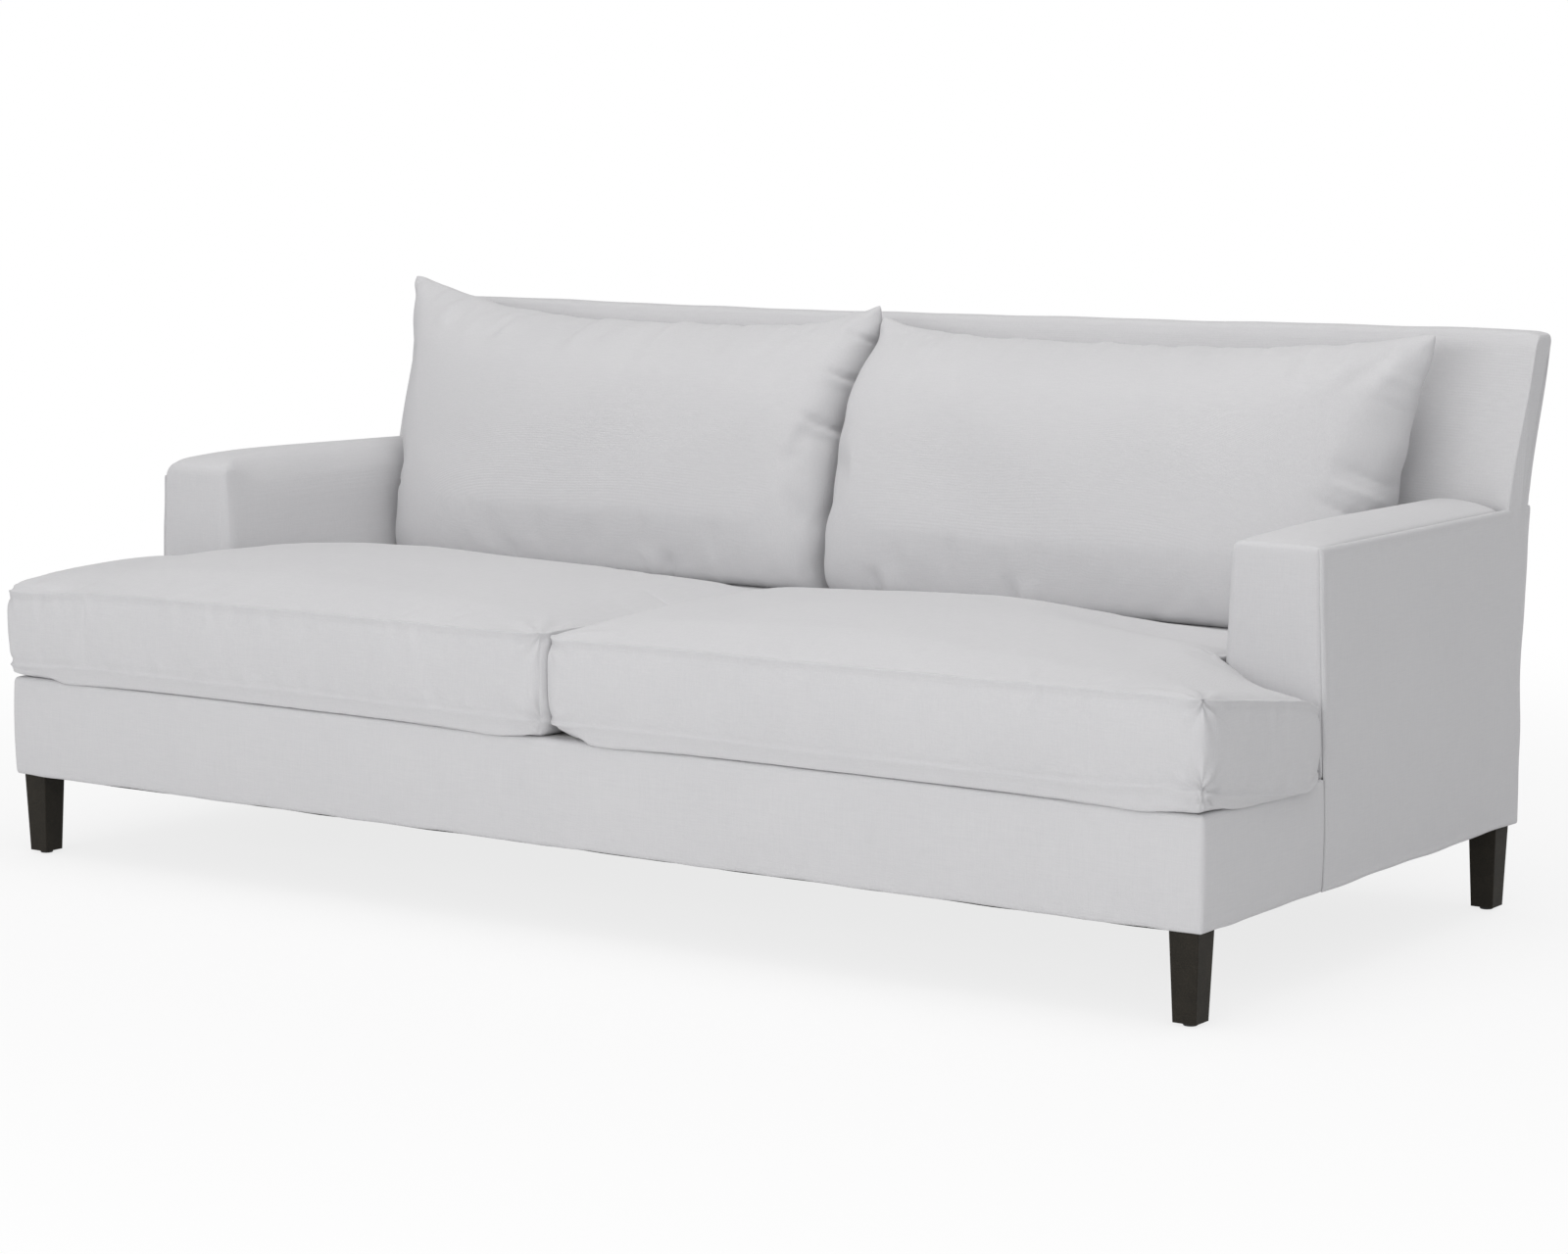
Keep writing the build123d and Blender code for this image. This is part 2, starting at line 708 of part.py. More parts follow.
def write_base_frame():
    """Base rails, cross rails and corner plates."""
    top = web_bottom
    t = rail_thickness
    holes = [bolt_hole(x, y) for x, y in leg_places]
    front = tube(-rail_outer, rail_outer, rail_front, rail_front + t, rail_bottom, top, "x")
    rear = tube(-rail_outer, rail_outer, rail_rear - t, rail_rear, rail_bottom, top, "x")
    for hole in holes:
        front -= hole
        rear -= hole
    write("base_front_rail", front)
    write("base_rear_rail", rear)
    y0 = rail_front + t
    y1 = rail_rear - t
    both_sides("base_side_rail", tube(rail_outer - t, rail_outer, y0, y1, rail_bottom, top, "y"))
    x0 = cross_rail_place - t / 2
    cross_top = rail_bottom + cross_rail_height
    both_sides("base_cross_rail", tube(x0, x0 + t, y0, y1, rail_bottom, cross_top, "y"))
    write("corner_plates", *[corner_plate(x, y) for x, y in leg_places])


def write_back_frame():
    """Back posts, rails and webbing."""
    outer = arm_outer_top - panel_thickness - post_side_gap
    inner = outer - post_width
    rail_low = frame_top - back_rail_height
    both_sides("back_post", raked_post(inner, outer))
    write("back_post_centre", raked_post(-post_width / 2, post_width / 2))
    write("back_top_rail", raked_rail(rail_low, frame_top, -outer, outer))
    mid_top = back_mid_rail_height + back_rail_height
    mid = raked_rail(back_mid_rail_height, mid_top, post_width / 2, inner)
    write("back_mid_rails", mid, to_left(mid))
    straps = []
    for i in range(back_web_pairs):
        x = back_web_pitch * (i + 0.5) + post_width / 2
        strap = raked_bar(frame_rear_offset + web_thickness, frame_rear_offset,
                          base_top + web_width, frame_top - back_rail_height / 2, x, x + web_width)
        straps += [strap, to_left(strap)]
    write("back_webbing", *straps)


def write_seat_webbing():
    """Straps over the base rails, the long ones under the cross ones."""
    y0 = rail_front + rail_thickness / 2
    y1 = rail_rear - rail_thickness / 2
    low = web_bottom + web_thickness
    cross = []
    for i in range(cross_web_pairs):
        x = cross_web_pitch * (i + 0.5)
        strap = block(x - web_width / 2, x + web_width / 2, y0, y1, low, low + web_thickness)
        cross += [strap, to_left(strap)]
    write("seat_webbing_cross", *cross)
    middle = (y0 + y1) / 2
    first = middle - long_web_pitch * (long_web_count - 1) / 2
    x1 = rail_outer - rail_thickness / 2
    long = []
    for i in range(long_web_count):
        y = first + long_web_pitch * i
        long.append(block(-x1, x1, y - web_width / 2, y + web_width / 2, web_bottom, low))
    write("seat_webbing_long", *long)


def write_upholstery():
    """Fixed covers, panels and padding."""
    back = back_form()
    cavity = back_cavity()
    arm_post, arm_rail = arm_tubes()
    x0, x1 = arm_tube_span()
    rail_way = block(x0, x1, arm_front, far, 0, arm_tube_top()) & back
    rail_ways = rail_way + to_left(rail_way)
    cover = back - cavity - rail_ways
    write("back_cover", cover)
    frame_zone = raked_bar(frame_rear_offset + web_thickness, -far, 0, frame_top, -far, far)
    panel_zone = raked_bar(panel_thickness + rear_padding, -far, 0, far, -far, far)
    pad = back & cavity & side_envelope(panel_thickness, arm_outer_top - cover_thickness)
    write("back_pad", pad - frame_zone - panel_zone - rail_ways)
    both_sides("arm_post", arm_post)
    both_sides("arm_rail", arm_rail)
    both_sides("arm_pad", arm_pad())
    both_sides("arm_cover", arm_cover())
    both_sides("side_panel", side_panel())
    write("outside_back_panel", outside_back_panel())
    batting = raked_bar(panel_thickness + rear_padding, panel_thickness, rail_bottom,
                        back_height - cover_thickness - rear_padding, -half_width, half_width)
    write("outside_back_pad", batting & side_envelope(panel_thickness, arm_outer_top - panel_thickness))
    t = cover_thickness
    low = base_bottom + t
    high = base_top - t
    write("base_front_band", base_band())
    write("base_front_pad", block(t - half_width, half_width - t, base_front + t, rail_front, low, high))
    side_pad = block(rail_outer, rail_outer + side_padding, rail_front, rail_rear, low, high)
    both_sides("base_side_pad", side_pad)
    write("deck", deck())
    write("dust_cover", dust_cover())


def write_legs():
    """Legs, glides and leg bolts."""
    names = ("leg_front_left", "leg_front_right", "leg_rear_left", "leg_rear_right")
    for name, (x, y) in zip(names, leg_places):
        write(name, leg(x, y))
    write("leg_glides", *[glide(x, y) for x, y in leg_places])
    write("leg_bolts", *[leg_bolt(x, y) for x, y in leg_places])


def write_cushions():
    """Seat and back cushions with their fillings and zips."""
    seat = seat_cushion()
    for name, part in zip(("cover", "core", "zip_tape", "zip_slider"), seat):
        both_sides(f"seat_cushion_{name}", part)
    for name, part in zip(("cover", "fill", "zip_tape", "zip_slider"), back_cushion(seat[0])):
        both_sides(f"back_cushion_{name}", part)


os.makedirs("parts", exist_ok=True)
write_base_frame()
write_back_frame()
write_seat_webbing()
write_upholstery()
write_legs()
write_cushions()
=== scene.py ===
import bpy
import bmesh
import json
import math
import numpy as np
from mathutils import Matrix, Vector
from mathutils.bvhtree import BVHTree


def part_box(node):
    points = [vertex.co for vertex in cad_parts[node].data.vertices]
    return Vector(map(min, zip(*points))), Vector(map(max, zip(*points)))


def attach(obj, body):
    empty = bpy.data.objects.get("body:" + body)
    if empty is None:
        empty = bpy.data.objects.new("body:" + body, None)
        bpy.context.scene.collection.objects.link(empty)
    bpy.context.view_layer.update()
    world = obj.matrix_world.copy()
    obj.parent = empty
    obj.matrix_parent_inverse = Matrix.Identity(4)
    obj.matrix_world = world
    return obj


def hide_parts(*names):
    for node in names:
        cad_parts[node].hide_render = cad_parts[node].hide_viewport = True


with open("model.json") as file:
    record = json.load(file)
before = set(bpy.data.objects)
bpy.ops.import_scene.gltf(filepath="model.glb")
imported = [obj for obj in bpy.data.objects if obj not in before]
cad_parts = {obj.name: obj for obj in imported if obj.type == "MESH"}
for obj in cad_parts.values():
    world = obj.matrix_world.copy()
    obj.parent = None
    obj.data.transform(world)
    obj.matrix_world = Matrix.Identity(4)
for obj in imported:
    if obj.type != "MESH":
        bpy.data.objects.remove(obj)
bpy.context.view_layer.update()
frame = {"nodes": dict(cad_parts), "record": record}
scene = bpy.context.scene

# Main sizes of the CAD model, in metres
HALF_WIDTH = 1.090
BASE_FRONT, BASE_REAR = -0.534, 0.452
BASE_BOTTOM, BASE_TOP = 0.130, 0.290
ARM_FRONT, ARM_TOP = -0.190, 0.609
ARM_OUTER_TOP, ARM_INNER_TOP, ARM_INNER_FOOT = 1.078, 0.941, 0.925
BACK_TOP, BACK_BEND = 0.866, 0.350
BACK_FOOT, BACK_TOP_FRONT, BACK_TOP_REAR = 0.330, 0.484, 0.542
BACK_SLOPE = (BACK_TOP_FRONT - BACK_FOOT) / (BACK_TOP - BASE_TOP)
REAR_SLOPE = (BACK_TOP_REAR - BASE_REAR) / (BACK_TOP - BACK_BEND)
LEAN = math.atan(BACK_SLOPE)


def back_front(z):
    return BACK_FOOT + (z - BASE_TOP) * BACK_SLOPE


def back_rear(z):
    return BASE_REAR + np.maximum(0.0, z - BACK_BEND) * REAR_SLOPE


def ripple(s, seed, waves=((0.9, 1.0), (0.37, 0.7), (0.17, 0.5))):
    """Smooth irregular wave along s, about -1 to 1, from a few sines with fixed phases."""
    total = sum(a for _, a in waves)
    out = 0.0
    for k, (length, a) in enumerate(waves):
        out = out + a * np.sin(2 * np.pi * s / length + seed * 1.7 + k * 2.3)
    return out / total


def unit(t):
    return np.clip(t, 0, 1)


def bump(t):
    """A smooth fold profile: 1 at t = 0, 0 beyond 1."""
    t = unit(np.abs(t))
    return (1 - t * t) ** 2


def smooth_step(t):
    t = unit(t)
    return t * t * (3 - 2 * t)


# Materials

def new_material(name):
    m = bpy.data.materials.new(name)
    m.use_nodes = True
    tree = m.node_tree
    return m, tree, tree.nodes["Principled BSDF"]


def fill_in(n, sockets):
    """Sets a node's inputs: another node's output is linked, anything else becomes the value."""
    for key, value in sockets.items():
        if isinstance(value, bpy.types.NodeSocket):
            n.id_data.links.new(value, n.inputs[key])
        else:
            n.inputs[key].default_value = value


def node(tree, kind, sockets=None, **values):
    n = tree.nodes.new("ShaderNode" + kind)
    for key, value in values.items():
        setattr(n, key, value)
    fill_in(n, sockets or {})
    return n


def noise(tree, coords, scale, detail=2.0):
    return node(tree, "TexNoise", {"Vector": coords, "Scale": scale, "Detail": detail}).outputs["Fac"]


def streaks(tree, coords, scale, detail=2.0):
    """Noise drawn out along one axis: threads of uneven thickness."""
    m = node(tree, "VectorMath", {0: coords, 1: scale}, operation="MULTIPLY")
    return noise(tree, m.outputs[0], 1.0, detail)


def add(tree, a, b, weight=1.0):
    return node(tree, "Math", {0: b, 1: weight, 2: a}, operation="MULTIPLY_ADD").outputs[0]


def tint(tree, bsdf, tone, low, high, dark, light):
    """Base colour, from dark to light as the tone goes from low to high."""
    ramp = node(tree, "MapRange", {0: tone, 1: low, 2: high, 3: 0.0, 4: 1.0})
    mix = {"Factor": ramp.outputs[0], 6: (*dark, 1), 7: (*light, 1)}
    fill_in(bsdf, {"Base Color": node(tree, "Mix", mix, data_type="RGBA").outputs[2]})


def emboss(tree, bsdf, height, strength, distance):
    b = node(tree, "Bump", {"Strength": strength, "Distance": distance, "Height": height})
    fill_in(bsdf, {"Normal": b.outputs[0]})


def fabric(name, light, dark, sheen=0.12, weave=0.0011, strength=0.35):
    """A plain weave: slubby threads along all three axes, a fine weave bump and a faint wide unevenness."""
    m, tree, bsdf = new_material(name)
    coords = node(tree, "TexCoord").outputs["Object"]
    fine, long = 620.0, 34.0
    x = streaks(tree, coords, (long, fine, fine))
    y = streaks(tree, coords, (fine, long, fine))
    z = streaks(tree, coords, (fine, fine, long))
    threads = add(tree, add(tree, add(tree, 0.0, x), y), z)
    wide = streaks(tree, coords, (5.0, 5.0, 5.0), 1.0)
    tint(tree, bsdf, add(tree, threads, wide, 0.6), 1.3, 2.3, dark, light)
    # Threads over and under each other, in all three planes
    height = 0.0
    wave = {"Vector": coords, "Scale": 2 * math.pi / (20 * weave), "Distortion": 1.2, "Detail": 1.0}
    for axis in "XYZ":
        w = node(tree, "TexWave", wave, wave_type="BANDS", bands_direction=axis)
        height = add(tree, height, w.outputs["Fac"])
    emboss(tree, bsdf, add(tree, height, threads, 1.4), strength, 0.0004)
    fill_in(bsdf, {"Roughness": 0.9, "Specular IOR Level": 0.15,
                   "Sheen Weight": sheen, "Sheen Roughness": 0.6})
    return m


def powder_coat(name, light, dark, roughness=0.55, grain=900.0, metallic=0.0, specular=0.5):
    """Textured coat: fine pits with flecks of a lighter tone."""
    m, tree, bsdf = new_material(name)
    coords = node(tree, "TexCoord").outputs["Object"]
    pits = noise(tree, coords, grain, 3.0)
    wide = noise(tree, coords, 40.0)
    tint(tree, bsdf, add(tree, pits, wide, 0.35), 0.5, 0.95, dark, light)
    emboss(tree, bsdf, pits, 0.4, 0.0005)
    fill_in(bsdf, {"Roughness": roughness, "Metallic": metallic, "Specular IOR Level": specular})
    return m


MATERIALS = {
    "fabric_white": fabric("white_outdoor_fabric", (0.715, 0.713, 0.722), (0.665, 0.664, 0.676)),
    "deck_cloth": fabric("deck_cloth", (0.55, 0.55, 0.54), (0.45, 0.45, 0.44)),
    "dust_cloth": fabric("dust_cloth", (0.035, 0.035, 0.035), (0.02, 0.02, 0.02), sheen=0.05),
    "webbing": fabric("webbing", (0.06, 0.06, 0.06), (0.03, 0.03, 0.03), weave=0.003),
    "foam": fabric("foam", (0.75, 0.73, 0.66), (0.66, 0.64, 0.58), weave=0.002),
    "zip_tape": fabric("zip_tape", (0.70, 0.70, 0.71), (0.6, 0.6, 0.62), weave=0.002, strength=0.6),
    "leg_bronze": powder_coat("leg_bronze", (0.034, 0.029, 0.021), (0.011, 0.0095, 0.007), 0.65,
                              specular=0.2),
    "frame_aluminium": powder_coat("frame_aluminium", (0.20, 0.19, 0.18), (0.12, 0.115, 0.11)),
    "bolt_steel": powder_coat("bolt_steel", (0.62, 0.62, 0.63), (0.5, 0.5, 0.51), 0.35, 300.0, 1.0),
    "black_nylon": powder_coat("black_nylon", (0.025, 0.025, 0.025), (0.012, 0.012, 0.012), 0.6, 500.0),
    "zip_metal": powder_coat("zip_metal", (0.75, 0.75, 0.75), (0.62, 0.62, 0.62), 0.3, 700.0, 1.0),
}
WHITE = MATERIALS["fabric_white"]
for part in frame["record"]["subparts"]:
    cad = frame["nodes"][part["node"]]
    cad.data.materials.clear()
    cad.data.materials.append(MATERIALS[part["material_slot"]])


# Mesh building

class Skin:
    """A mesh put together from patches that share vertices."""

    def __init__(self):
        self.points = []
        self.faces = []
        self.count = 0

    def add(self, pts):
        pts = np.asarray(pts, float)
        flat = pts.reshape(-1, 3)
        self.points.append(flat)
        ids = np.arange(self.count, self.count + len(flat)).reshape(pts.shape[:-1])
        self.count += len(flat)
        return ids

    def patch(self, ids, closed=False, flip=False):
        """Quads over a grid of vertex numbers; -1 marks a missing vertex."""
        if closed:
            ids = np.concatenate([ids, ids[:, :1]], axis=1)
        a, b, c, d = ids[:-1, :-1], ids[:-1, 1:], ids[1:, 1:], ids[1:, :-1]
        quads = np.stack([a, b, c, d], axis=-1).reshape(-1, 4)
        quads = quads[(quads >= 0).all(axis=1)]
        self.faces.append(quads[:, ::-1] if flip else quads)

    def array(self):
        return np.concatenate(self.points)

    def trim(self):
        """Drops the points that no face uses; gives those left, and each point's new number."""
        used = np.zeros(self.count, bool)
        used[np.concatenate([f.ravel() for f in self.faces])] = True
        number = np.cumsum(used) - 1
        self.faces = [number[f] for f in self.faces]
        return self.array()[used], number

    def make(self, name, points, material, levels=1):
        me = bpy.data.meshes.new(name)
        me.from_pydata(points.tolist(), [], [q.tolist() for f in self.faces for q in f])
        me.update()
        bm = bmesh.new()
        bm.from_mesh(me)
        bmesh.ops.recalc_face_normals(bm, faces=bm.faces)
        bm.to_mesh(me)
        bm.free()
        me.shade_smooth()
        me.materials.append(material)
        obj = bpy.data.objects.new(name, me)
        scene.collection.objects.link(obj)
        if levels:
            subdivide(obj, levels)
        return obj


def subdivide(obj, levels):
    sub = obj.modifiers.new("Subdivision", "SUBSURF")
    sub.levels = sub.render_levels = levels


def finished(obj):
    """The object with its modifiers worked out."""
    return obj.evaluated_get(bpy.context.evaluated_depsgraph_get())


def coords_of(obj, what="co"):
    flat = np.empty(len(obj.data.vertices) * 3)
    obj.data.vertices.foreach_get(what, flat)
    return flat.reshape(-1, 3)


def normals_of(obj):
    obj.data.update()
    return coords_of(obj, "normal")


def set_coords(obj, pts):
    obj.data.vertices.foreach_set("co", np.ascontiguousarray(pts, dtype=np.float32).ravel())
    obj.data.update()


# The cloth that blows the cushions up
CLOTH = {
    "quality": 4, "mass": 0.3, "tension_stiffness": 12, "compression_stiffness": 12, "shear_stiffness": 6,
    "bending_stiffness": 0.4, "use_pressure": True, "vertex_group_mass": "held", "pin_stiffness": 1.0,
}
CLOTH_FRAMES = 20


def settle(obj, held, pressure, cap, grow):
    """Blow the piece up as cloth; held gives how firmly each point is pinned, cap how far it may go."""
    start = coords_of(obj)
    sub = obj.modifiers["Subdivision"]
    levels = sub.levels
    obj.modifiers.remove(sub)
    group = obj.vertex_groups.new(name="held")
    for level in np.unique(held):
        if level > 0:
            group.add(np.flatnonzero(held == level).tolist(), float(level), "REPLACE")
    mod = obj.modifiers.new("Cloth", "CLOTH")
    for key, value in CLOTH.items():
        setattr(mod.settings, key, value)
    mod.settings.uniform_pressure_force = pressure
    mod.settings.effector_weights.gravity = 0
    mod.settings.shrink_min = -grow
    mod.collision_settings.use_collision = False
    for f in range(1, CLOTH_FRAMES + 1):
        scene.frame_set(f)
    move = coords_of(finished(obj)) - start
    obj.modifiers.remove(mod)
    obj.vertex_groups.clear()
    scene.frame_set(1)
    size = np.linalg.norm(move, axis=1, keepdims=True)
    move *= np.minimum(1.0, cap / np.maximum(size, 1e-9))
    set_coords(obj, start + move)
    subdivide(obj, levels)


def refine(obj):
    """Make the subdivision real, so that folds can be worked into the finer mesh."""
    fine = bpy.data.meshes.new_from_object(finished(obj))
    plain = obj.data
    obj.modifiers.clear()
    obj.data = fine
    bpy.data.meshes.remove(plain)
    fine.name = obj.name
    fine.shade_smooth()


def along_loop(loop, points):
    """For each point in plan: the nearest segment of a closed line, the share of it passed, the distance."""
    a, b = loop, np.roll(loop, -1, 0)
    step = b - a
    length = (step ** 2).sum(1)
    which, share, away = [], [], []
    for part in np.array_split(points, max(1, len(points) // 4000)):
        rel = part[:, None, :] - a[None]
        t = unit((rel * step).sum(2) / length)
        gap = np.linalg.norm(rel - t[..., None] * step, axis=2)
        k = gap.argmin(1)
        row = np.arange(len(part))
        which.append(k)
        share.append(t[row, k])
        away.append(gap[row, k])
    return np.concatenate(which), np.concatenate(share), np.concatenate(away)


def outward_of(step):
    """Unit vectors to the right of a line in plan, from its steps."""
    out = np.stack([step[:, 1], -step[:, 0]], -1)
    return out / np.linalg.norm(out, axis=1, keepdims=True)


def length_along(line):
    return np.concatenate([[0], np.cumsum(np.linalg.norm(np.diff(line, axis=0), axis=1))])


def lines(a, b, step, edges, first=True):
    """Grid lines from a to b: close together at the seams, evenly spaced between."""
    head = [a + e for e in edges] if first else [a]
    tail = [b - e for e in reversed(edges)]
    n = max(1, int(round((tail[0] - head[-1]) / step)))
    middle = np.linspace(head[-1], tail[0], n + 1)[1:-1]
    return np.array(head + middle.tolist() + tail)


def upholster(obj, body, fill, *nodes, slot="fabric_white"):
    """A padded piece: the CAD nodes it replaces and the body it rides; the material slot is not used."""
    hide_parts(*nodes)
    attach(obj, body)
    return obj


# Seat cushions

SEAT_X0, SEAT_X1, SEAT_X2 = 0.0015, 0.922, 1.094
SEAT_Y0, SEAT_Y1, SEAT_Y2 = -0.542, -0.193, 0.320
SEAT_LOW = BASE_TOP + 0.0008
SEAT_CORNER = 0.030
SEAT_OUTER_CORNER = 0.014
SEAT_EAR_CORNER = 0.045
SEAT_GRID = 0.012
SEAT_BELLY = 0.006
SEAT_EDGES = (0.0, 0.002, 0.005, 0.010, 0.018, 0.028, 0.040)
# Heights of the seams, outward push of the band between them, and its rows from the upper seam to the lower
SEAT_SEAM_HIGH, SEAT_SEAM_LOW = 0.4405, 0.3145
SEAT_PUSH = 0.0045
SEAT_ROWS = (0.025, 0.06, 0.11, 0.19, 0.31, 0.5, 0.69, 0.81, 0.89, 0.94, 0.975)
# Half the gap between the two cushions, and how far down the ear's lip may hang outside the base
SEAT_GAP = 0.0008
LIP_X, LIP_LOW = 1.0952, 0.262


def ledge(x, y):
    """Lowest place for the cushions' undersides: the base's top, a little less over its front and sides."""
    side = np.where(y < SEAT_Y1 + 1e-6, HALF_WIDTH + 0.0035 - np.abs(x), 9.0)
    into = np.minimum(y - (BASE_FRONT - 0.0035), side)
    return SEAT_LOW - 0.009 * unit(1 - into / 0.005) ** 1.2


def round_corner(x, y, cx, cy, sx, sy, r):
    """Turns the square corner at (cx, cy) into a round one; sx, sy point out of the cushion."""
    p = unit(1 - sx * (cx - x) / r)
    q = unit(1 - sy * (cy - y) / r)
    inside = (p > 0) & (q > 0)
    px = p * np.sqrt(1 - q * q / 2)
    qy = q * np.sqrt(1 - p * p / 2)
    x = np.where(inside, cx + sx * r * (px - 1), x)
    y = np.where(inside, cy + sy * r * (qy - 1), y)
    return x, y


# Rise of the crowned tops over their seams: across each cushion, and from its front to its rear, where the
# back cushions press it down
CROWN_X = (SEAT_X0, 0.06, 0.15, 0.30, 0.46, 0.62, 0.76, 0.86, 0.94, 1.03, SEAT_X2)
LEFT_CROWN = (0.0, 0.013, 0.0207, 0.0312, 0.0375, 0.0445, 0.0415, 0.0345, 0.0300, 0.0235, 0.0)
RIGHT_CROWN = (0.0, 0.0252, 0.0275, 0.0363, 0.0405, 0.0325, 0.0185, 0.0095, 0.0055, 0.003, 0.0)
CROWN_Y = (SEAT_Y0, -0.52, -0.49, -0.45, -0.35, -0.25, -0.15, -0.05, 0.05, 0.15, 0.20, SEAT_Y2)
CROWN_DEPTH = (0.0, 0.2, 0.4, 0.6, 0.87, 1.0, 0.98, 0.81, 0.50, 0.15, 0.02, -0.05)
REAR_SINK = 0.020


def soft_line(places, values, at, width):
    """A line through given points, its corners blurred over width, its ends kept."""
    dense = np.linspace(places[0], places[-1], 500)
    n = max(2, int(width / (dense[1] - dense[0])))
    kernel = np.exp(-np.linspace(-2.2, 2.2, 2 * n + 1) ** 2)
    line = np.pad(np.interp(dense, places, values), n, mode="reflect", reflect_type="odd")
    return np.interp(at, dense, np.convolve(line, kernel / kernel.sum(), mode="valid"))


def seat_lines(a, b, c):
    return np.concatenate([lines(a, b, SEAT_GRID, SEAT_EDGES),
                           lines(b, c, SEAT_GRID, SEAT_EDGES, first=False)[1:]])


def seat_cushion(side, sx, spec):
    """A T-shaped cushion, built as the right one and mirrored by sx: a top and an underside over one plan,
    joined by a band between their seams."""
    seed, sink = spec["seed"], spec["sink"]
    xs = seat_lines(SEAT_X0, SEAT_X1, SEAT_X2)
    ys = seat_lines(SEAT_Y0, SEAT_Y1, SEAT_Y2)
    ni = int(np.argmin(abs(xs - SEAT_X1)))
    nj = int(np.argmin(abs(ys - SEAT_Y1)))
    X, Y = np.meshgrid(xs, ys, indexing="ij")
    missing = np.zeros(X.shape, bool)
    missing[ni + 1:, nj + 1:] = True
    # Distance to the seam, before the plan is rounded and drawn in
    out_x = np.where(Y > SEAT_Y1, SEAT_X1, SEAT_X2) - X
    out_y = np.where(X > SEAT_X1, SEAT_Y1, SEAT_Y2) - Y
    D = np.minimum.reduce([X - SEAT_X0, Y - SEAT_Y0, out_x, out_y])
    inner = (X < SEAT_X1) & (Y < SEAT_Y1)
    D = np.where(inner, np.minimum(D, np.hypot(SEAT_X1 - X, SEAT_Y1 - Y)), D)
    px, py = X.copy(), Y.copy()
    corners = ((SEAT_X0, SEAT_Y0, -1, -1, SEAT_CORNER), (SEAT_X2, SEAT_Y0, 1, -1, SEAT_OUTER_CORNER),
               (SEAT_X2, SEAT_Y1, 1, 1, SEAT_EAR_CORNER), (SEAT_X1, SEAT_Y2, 1, 1, SEAT_CORNER),
               (SEAT_X0, SEAT_Y2, -1, 1, SEAT_CORNER))
    for cx, cy, kx, ky, r in corners:
        px, py = round_corner(px, py, cx, cy, kx, ky, r)
    ear_end = bump((Y - SEAT_Y1) / 0.075) * unit((X - 0.926) / 0.05) * (Y <= SEAT_Y1 + 1e-6)
    along = (X - SEAT_X0) / (SEAT_X2 - SEAT_X0)
    py = py + 0.005 * 4 * along * (1 - along) * unit(1 - (Y - SEAT_Y0) / 0.2)
    deep = (Y - SEAT_Y0) / (SEAT_Y2 - SEAT_Y0)
    px = px + 0.003 * 4 * deep * (1 - deep) * unit(1 - (X - SEAT_X0) / 0.2)
    px = px + spec["drawn"] * smooth_step((Y - 0.03) / 0.12) * unit(1 - (X - SEAT_X0) / 0.12)
    upper = SEAT_SEAM_HIGH + spec["tilt"] * (X / SEAT_X2 - 0.4) + 0.0012 * ripple(X + Y, seed)
    back_along = unit((Y - SEAT_Y0) / 0.30)
    ear = smooth_step((X - 0.90) / 0.17) * (Y < SEAT_Y1 + 1e-6)
    upper = upper - spec["droop"] * bump((SEAT_X2 - X) / 0.22) - 0.014 * ear_end - sink * ear * back_along
    upper = upper - REAR_SINK * smooth_step((Y + 0.05) / 0.25)
    lower = SEAT_SEAM_LOW + spec["end"] * smooth_step((X - 0.92) / 0.15) + 0.0012 * ripple(X - Y, seed + 3)
    lip = smooth_step((X - 1.02) / 0.07) * back_along ** 0.8 * (1 - 0.5 * ear_end)
    lower = lower - (0.020 + sink * 0.55) * lip
    px = px + 0.005 * lip
    roll = (0.0045 + spec["puff"] * smooth_step((X - 0.94) / 0.12)) * (1 - np.exp(-D / 0.010))
    arm_side = np.minimum(np.where(Y > SEAT_Y1, SEAT_X1 - X, 9.0), np.where(X > SEAT_X1, SEAT_Y1 - Y, 9.0))
    arm_side = np.where(inner, np.minimum(arm_side, np.hypot(SEAT_X1 - X, SEAT_Y1 - Y)), arm_side)
    full = 1 - np.exp(-np.clip(arm_side, 0, 9) / 0.006)
    rise = soft_line(CROWN_X, spec["crown"], X, 0.03) * soft_line(CROWN_Y, CROWN_DEPTH, Y, 0.03)
    rise = rise - spec["dip"] * smooth_step((X - 0.52) / 0.28) * bump((Y + 0.05) / 0.15)
    top_z = upper + roll + rise * full

    def near(x, y, reach):
        return bump(np.hypot(X - x, Y - y) / reach)
    inner_width, inner_reach, inner_power = spec["inner_belly"]
    outer_width, outer_reach = spec["outer_belly"]
    width = SEAT_BELLY + np.maximum.reduce([
        inner_width * near(SEAT_X0, SEAT_Y0, inner_reach), outer_width * near(SEAT_X2, SEAT_Y0, outer_reach),
        0.02 * near(SEAT_X2, SEAT_Y1, 0.12),
        0.05 * near(SEAT_X1, SEAT_Y2, 0.16), 0.05 * near(SEAT_X0, SEAT_Y2, 0.16)])
    power = 2.2 + (inner_power - 2.2) * near(SEAT_X0, SEAT_Y0, 1.4 * inner_reach)
    belly = unit(1 - D / width)
    bed = ledge(px, py)
    low_z = bed + (lower - bed) * (1 - unit(1 - belly ** power) ** (1 / power))

